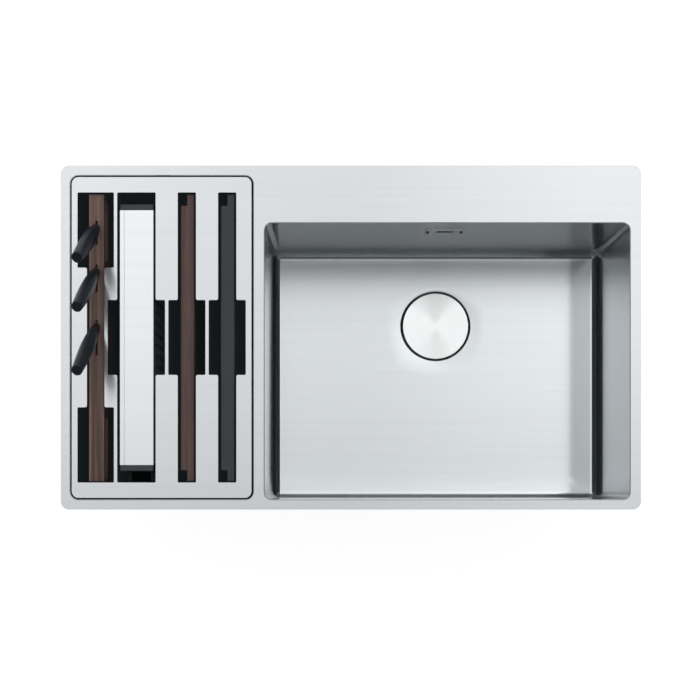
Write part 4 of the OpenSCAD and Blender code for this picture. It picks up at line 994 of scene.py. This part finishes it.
def bladePart(kind):
    # outline: straight spine that drops to the tip, edge that curves up to it, narrow tang;
    # across it, the sides are flat from the spine and then ground down to the edge
    length, width = knives["blade"][kind]
    belly, (dropAt, drop), tip = knives["belly"], knives["drop"], knives["tip"]
    bendRows, straightRows = knives["bladeRows"]
    turn = np.linspace(0, np.pi / 2, bendRows)
    curved = -length + belly * length * (1 - np.cos(turn))
    straight = np.linspace((belly - 1) * length, knives["bladeFull"], straightRows)[1:]
    tang, tangEnd = knives["tang"]
    z = np.concatenate([curved, straight, [knives["bladeNeck"], tangEnd, tangEnd]])
    blade = len(curved) + len(straight)
    sweep = np.arcsin(np.clip((-dropAt * length - z) / ((1 - dropAt) * length), 0, 1))
    spine = width / 2 - drop * width * (1 - np.cos(sweep))
    bend = np.arccos(np.clip(1 - (z + length) / (belly * length), 0, 1))
    edge = tip * width - (0.5 + tip) * width * np.sin(bend)
    spine[blade:] = footShift(kind) + tang
    edge[blade:] = footShift(kind) - tang
    grind = knives["grind"]
    across = np.array([0, knives["spineStop"], grind, *knives["grindStops"]])
    half = knives["bladeHalf"] * np.clip((1 - across) / (1 - grind), knives["edgeHalf"], 1)
    half[0] *= knives["spineHalf"]
    half = np.repeat(half[None], len(z), 0)
    half[blade:] = knives["bladeHalf"]
    half[[0, -1]] = 0
    drawn = np.ones(len(z))
    drawn[-1] = 0
    middle = (spine + edge) / 2
    y = spine[:, None] + (edge - spine)[:, None] * across
    y = middle[:, None] + (y - middle[:, None]) * drawn[:, None]
    x = np.concatenate([-half, half[:, -2:0:-1]], 1)
    y = np.concatenate([y, y[:, -2:0:-1]], 1)
    points = np.stack([x, y, np.repeat(z[:, None], x.shape[1], 1)], -1)
    faces, _, _ = gridFaces(len(z), x.shape[1])
    places = points.reshape(-1, 3)[:, 2:0:-1][faces] * mm
    return leaned(points, kind).reshape(-1, 3), faces, places


def buildKnives():
    handleAngle, bladeAngle = knives["smoothAngles"]
    for kind in knives["at"]:
        handle = meshPiece(kind + "Handle", handlePart(kind), "handleBlack", handleAngle)
        mount(handle, kind + "_knife_handle")
        blade = meshPiece(kind + "Blade", bladePart(kind), "bladeSteel", bladeAngle)
        mount(blade, kind + "_knife_blade")


buildKnives()
print("knives built")


# the waste, the overflow and the colander's grips, sizes in mm
coverDisc = {"thickness": 1.2, "edge": 0.35, "edgeCut": 0.3, "socketWall": 1.6, "socketLap": 3.1,
             "knobGap": 0.1, "rootFillet": 0.8, "columns": 160,
             "rings": (0.8, 0.6, 0.4, 0.2, 0.08, 0)}
overflow = {
    "sheet": 1.0,
    "slit": (13.0, 4.5, 13.0),       # half its length, its lower and its upper edge
    "window": (1.0, 3.4, -2.0),      # from the cover's end, its width and its lower edge
    "leg": (14.5, 4.0),              # place of each leg, and half its height
    "rounding": 0.2,
}
grips = {"cap": 9.0, "lip": 7.5, "lipDrop": 45.0, "rounding": 1.2}
hose = {"pitch": 5.0, "bore": 12.2, "wall": 1.6, "rowsPerRib": 10, "columns": 56,
        "ribPower": 0.7}             # below 1 the ribs are wider than the grooves
nuts = {"length": 16.0, "wall": 4.5, "socketWall": 2.4, "gap": 0.1, "lip": 3.0, "ridges": 20,
        "ridgeDepth": 1.3, "chamfer": 1.2, "columns": 160}
outlet = {"wall": 3.4, "collar": 5.0, "collarHeight": 3.0, "pitch": 3.0, "depth": 0.9,
          "threadLength": 24.0, "lead": 1.0, "rows": 97, "columns": 96, "fadeRows": 8}
waveAngle = 50                       # degrees; ribs and threads are smooth up to it


def buildDrainCover():
    # a disc with a rounded rim, and under it the socket that fits over the basket's knob
    low, high = size("drain_cover")
    x, y, _ = middleOf("drain_cover")
    radius = radiusOf("drain_cover")
    top, under, edge = high[2], high[2] - coverDisc["thickness"], coverDisc["edge"]
    bore = radiusOf("basket_stem") + coverDisc["knobGap"]
    socket, fillet = bore + coverDisc["socketWall"], coverDisc["rootFillet"]
    ceiling, cut = low[2] + coverDisc["socketLap"], coverDisc["edgeCut"] * edge
    profile = [(0, ceiling), (bore, ceiling), (bore, low[2]), (socket, low[2]),
               (socket, under - fillet), (socket + fillet, under), (radius / 2, under),
               (radius - edge, under), (radius, under + edge), (radius, top - edge),
               (radius - cut, top - cut), (radius - edge, top), (radius - 2 * edge, top)]
    profile += [(share * radius, top) for share in coverDisc["rings"]]
    disc = moved(lathe(profile, coverDisc["columns"]), (x, y, 0))
    mount(meshPiece("drainCover", disc, "turnedSteel"), "drain_cover")


def buildOverflowCover():
    # a shallow folded box, open to the wall, with a slit, a window near each end and two legs
    low, high = size("overflow_cover")
    centre, half, tall = middleOf("overflow_cover"), *(high - low)[::2] / 2
    wallY = size("main_bowl")[1][1] - basins["wall"]
    sheet, (near, wide, short) = overflow["sheet"], overflow["window"]
    (slitX, slitLow, slitHigh), (legX, legZ) = overflow["slit"], overflow["leg"]
    xs = [slitX, legX, legX + sheet, half - near - wide, half - near, half]
    xs = np.array([-x for x in xs[::-1]] + xs)
    zs = np.array([-tall, sheet - tall, -legZ, short, legZ, slitLow, slitHigh, tall - sheet, tall])
    x = np.abs(xs[:-1] + xs[1:])[:, None] / 2
    z = (zs[:-1] + zs[1:])[None] / 2
    leg = (x > legX) & (x < legX + sheet) & (np.abs(z) < legZ)
    window = (x > half - near - wide) & (x < half - near) & (z > short) & (z < tall - sheet)
    front = ~window & ~((x < slitX) & (z > slitLow) & (z < slitHigh))
    folded = (np.abs(z) > tall - sheet) | (x > half - near)
    solid = np.stack([front, leg | folded, leg], 1)
    ys = [low[1], low[1] + sheet, wallY, high[1]]
    cover = meshPiece("overflowCover", cellBlock(xs + centre[0], ys, zs + centre[2], solid),
                      "bowlSteel")
    roundEdges(cover, overflow["rounding"], 1)
    mount(cover, "overflow_cover")


def buildGrips():
    # a cap over each end of the colander, with a lip beyond it that stays below the top
    for end, sign in (("Front", -1), ("Back", 1)):
        node = "colander_grip_" + end.lower()
        low, high = size(node)
        inner, outer = (low[1], high[1])[::sign]
        xs = [low[0], low[0] + grips["lip"], high[0]]
        ys = sorted([inner, inner + sign * grips["cap"], outer])
        zs = [low[2], high[2] - grips["lipDrop"], high[2]]
        solid = np.zeros((2, 2, 2), bool)
        cap, lip = (0, 1)[::sign]
        solid[:, cap] = True
        solid[0, lip, 0] = True
        grip = meshPiece("colanderGrip" + end, cellBlock(xs, ys, zs, solid), "blackPlastic")
        roundEdges(grip, grips["rounding"], 3)
        mount(grip, node)


def buildHose():
    # ribs as a smooth wave along the hose, over a plain bore
    low, high = size("overflow_hose")
    x, y, _ = middleOf("overflow_hose")
    rib, wall, bore = radiusOf("overflow_hose"), hose["bore"] + hose["wall"], hose["bore"]
    count = round((high[2] - low[2]) / hose["pitch"])
    along = np.linspace(0, count, count * hose["rowsPerRib"] + 1)
    wave = (0.5 - 0.5 * np.cos(2 * np.pi * along)) ** hose["ribPower"]
    outer = np.stack([wall + (rib - wall) * wave, low[2] + (high[2] - low[2]) * along / count], 1)
    profile = np.concatenate([outer, [(bore, high[2]), (bore, low[2]), outer[0]]])
    part = moved(lathe(profile, hose["columns"]), (x, y, 0))
    mount(meshPiece("overflowHose", part, "pipePlastic", waveAngle), "overflow_hose")


def nutPart(pipe):
    # a compression nut, ridged outside, open to the pipe below and to its socket above
    inner = pipe + nuts["gap"]
    socket = inner + nuts["socketWall"] + nuts["gap"]
    outer, chamfer, length = socket + nuts["wall"], nuts["chamfer"], nuts["length"]
    profile = [(inner, 0), (outer - chamfer, 0), (outer, chamfer), (outer, length - chamfer),
               (outer - chamfer, length), (socket, length), (socket, nuts["lip"]),
               (inner, nuts["lip"]), (inner, 0)]
    return lathe(profile, nuts["columns"], nuts["ridges"], nuts["ridgeDepth"], (2, 3))


def buildNuts():
    # one at each end of the cross pipe and one where the elbow joins it from behind
    _, axisY, axisZ = middleOf("cross_pipe")
    pipe, elbow = radiusOf("cross_pipe", 2), radiusOf("overflow_elbow")
    bodyX = size("waste_body")[0][0] - nuts["lip"]
    wellX = size("well_waste_body")[1][0] + nuts["lip"]
    elbowX, backY = middleOf("overflow_elbow")[0], size("pipe_nuts")[1][1]
    part = joined(moved(nutPart(pipe), (bodyX, axisY, axisZ), (2, 0, 1)),
                  moved(nutPart(pipe), (wellX, axisY, axisZ), (2, 0, 1), (-1, 1, 1)),
                  moved(nutPart(elbow), (elbowX, backY, axisZ), (0, 2, 1), (1, -1, 1)))
    mount(meshPiece("pipeNuts", part, "pipePlastic"), "pipe_nuts")


def buildOutlet():
    # a spigot with a coarse outer thread, and the collar that bonds it to the body; the thread
    # is a wave up the spigot that shifts by one pitch in a turn, faded out at both ends
    low, high = size("waste_outlet")
    x, y, _ = middleOf("waste_outlet")
    rows, columns, lead = outlet["rows"], outlet["columns"], outlet["lead"]
    collar = radiusOf("waste_outlet")
    outer = collar - outlet["collar"]
    bore, neck = outer - outlet["wall"], high[2] - outlet["collarHeight"]
    threadTop = low[2] + outlet["threadLength"]
    start = [(bore, low[2]), (outer - lead, low[2])]
    thread = np.stack([np.full(rows, outer), np.linspace(low[2] + lead, threadTop, rows)], 1)
    end = [(outer, threadTop + lead), (outer, neck), (collar, neck), (collar, high[2]),
           (bore, high[2]), (bore, low[2])]
    points, faces, places = lathe(np.concatenate([start, thread, end]), columns)
    turn = np.arctan2(points[:, 1], points[:, 0])
    row = np.arange(len(points)) // columns - len(start)
    threaded = (row >= 0) & (row < rows)
    wave = 0.5 - 0.5 * np.cos(2 * np.pi * points[:, 2] / outlet["pitch"] - turn)
    ends = np.clip(np.minimum(row, rows - 1 - row) / outlet["fadeRows"], 0, 1)
    share = 1 - threaded * ends * wave * outlet["depth"] / outer
    points = points * np.stack([share, share, np.ones(len(share))], 1)
    part = moved((points, faces, places), (x, y, 0))
    mount(meshPiece("wasteOutlet", part, "pipePlastic", waveAngle), "waste_outlet")


buildDrainCover()
buildOverflowCover()
buildGrips()
buildHose()
buildNuts()
buildOutlet()
print("waste and overflow built")


# the other pieces are dressed copies of their nodes, sizes in mm
details = {
    "flange": (56.5, 54.6),  # radius from which the waste flange is drawn in, and to which one
    "seal": (55.5, 58.7),    # likewise its rubber ring, drawn out to show round the cover disc
    "hem": (6.0, 6.35, 6.7), # from the colander's open side: its folded edge's seam
    "hemDrop": 0.4,
    "near": 0.01,
}
wasteAxis = middleOf("waste_flange")[:2]
colanderLow, colanderHigh = size("colander_basin")
foldCuts = [colanderLow[0] + place for place in details["hem"]]


def scaledRing(points, beyond, reach):
    # points further out than a radius, round the waste's axis, moved to another radius
    around = points[:, :2] - wasteAxis
    radius = np.linalg.norm(around, axis=1, keepdims=True)
    moving = (radius > beyond)[:, 0]
    points[moving, :2] = (wasteAxis + around / radius * reach)[moving]
    return points


def narrowerFlange(points):
    return scaledRing(points, *details["flange"])


def widerSeal(points):
    return scaledRing(points, *details["seal"])


def foldedHem(points):
    # a fine seam along the top, where the folded edge ends
    near = details["near"]
    seam = (np.abs(points[:, 0] - foldCuts[1]) < near) & (points[:, 2] > colanderHigh[2] - near)
    points[seam, 2] -= details["hemDrop"]
    return points


# name, node, finish, slot, width of the rounded edges and steps across it
dressed = [
    ("deckSheet", "deck", "brushedSteel", "steel", 0.22, 2),
    ("rimSeal", "rim_seal", "rimFoam", "rubber", 0.3, 1),
    ("bowlPads", "bowl_sound_pads", "soundPad", "rubber", 0.7, 2),
    ("wellPads", "well_sound_pads", "soundPad", "rubber", 0.7, 2),
    ("clampBrackets", "clamp_brackets", "platedSteel", "plated_steel", 0.25, 2),
    ("wasteUpperSeal", "waste_upper_seal", "ringRubber", "rubber", 0.2, 2, (), widerSeal),
    ("wasteFlange", "waste_flange", "bowlSteel", "steel", 0.3, 2, (), narrowerFlange),
    ("wasteLowerSeal", "waste_lower_seal", "softRubber", "rubber", 0.4, 2),
    ("wasteBody", "waste_body", "pipePlastic", "black_plastic", 0.6, 2),
    ("wasteScrew", "waste_screw", "platedSteel", "plated_steel", 0.4, 2),
    ("overflowSeal", "overflow_seal", "softRubber", "rubber", 0.4, 2),
    ("overflowHousing", "overflow_housing", "pipePlastic", "black_plastic", 1.0, 2),
    ("overflowScrews", "overflow_screws", "platedSteel", "plated_steel", 0.2, 2),
    ("overflowElbow", "overflow_elbow", "pipePlastic", "black_plastic", 0.3, 2),
    ("wellWasteSeals", "well_waste_seals", "softRubber", "rubber", 0.2, 2),
    ("wellWasteFlange", "well_waste_flange", "bowlSteel", "steel", 0.3, 2),
    ("wellWasteBody", "well_waste_body", "pipePlastic", "black_plastic", 0.6, 2),
    ("wellWasteScrew", "well_waste_screw", "platedSteel", "plated_steel", 0.3, 2),
    ("crossPipe", "cross_pipe", "pipePlastic", "black_plastic", 0.3, 1),
    ("strainerBasket", "strainer_basket", "bowlSteel", "steel", 0.2, 1),
    ("basketStem", "basket_stem", "platedSteel", "plated_steel", 0.5, 2),
    ("basketSeal", "basket_seal", "softRubber", "rubber", 0.4, 2),
    ("organiserPlate", "organiser_plate", "brushedSteel", "steel", 0.45, 3, (), None, 2.6),
    # the band is painted shadow: dark steel where the real band is only in the plate's shade
    ("organiserBand", "organiser_band", "shadedSteel", "steel", 0.2, 1),
    ("organiserInsert", "organiser_insert", "insertPlastic", "black_plastic", 0.5, 1),
    ("organiserFeet", "organiser_feet", "softRubber", "rubber", 1.0, 2),
    ("knifeBlock", "knife_block", "walnutBlock", "walnut", 0.8, 2),
    ("colanderBasin", "colander_basin", "colanderSteel", "steel", 0, 1, foldCuts, foldedHem),
    ("walnutBoard", "wood_board", "walnutBoard", "walnut", 1.2, 3),
    ("graphiteBoard", "black_board", "graphiteBoard", "graphite", 1.2, 3),
]
for number in range(1, 5):
    dressed += [
        (f"clampScrew{number}", f"clamp_screw_{number}", "platedSteel", "plated_steel", 0.2, 2),
        (f"clampToe{number}", f"clamp_toe_{number}", "platedSteel", "plated_steel", 0.3, 2),
    ]
for entry in dressed:
    dressedCopy(*entry)
print("dressed copies built")
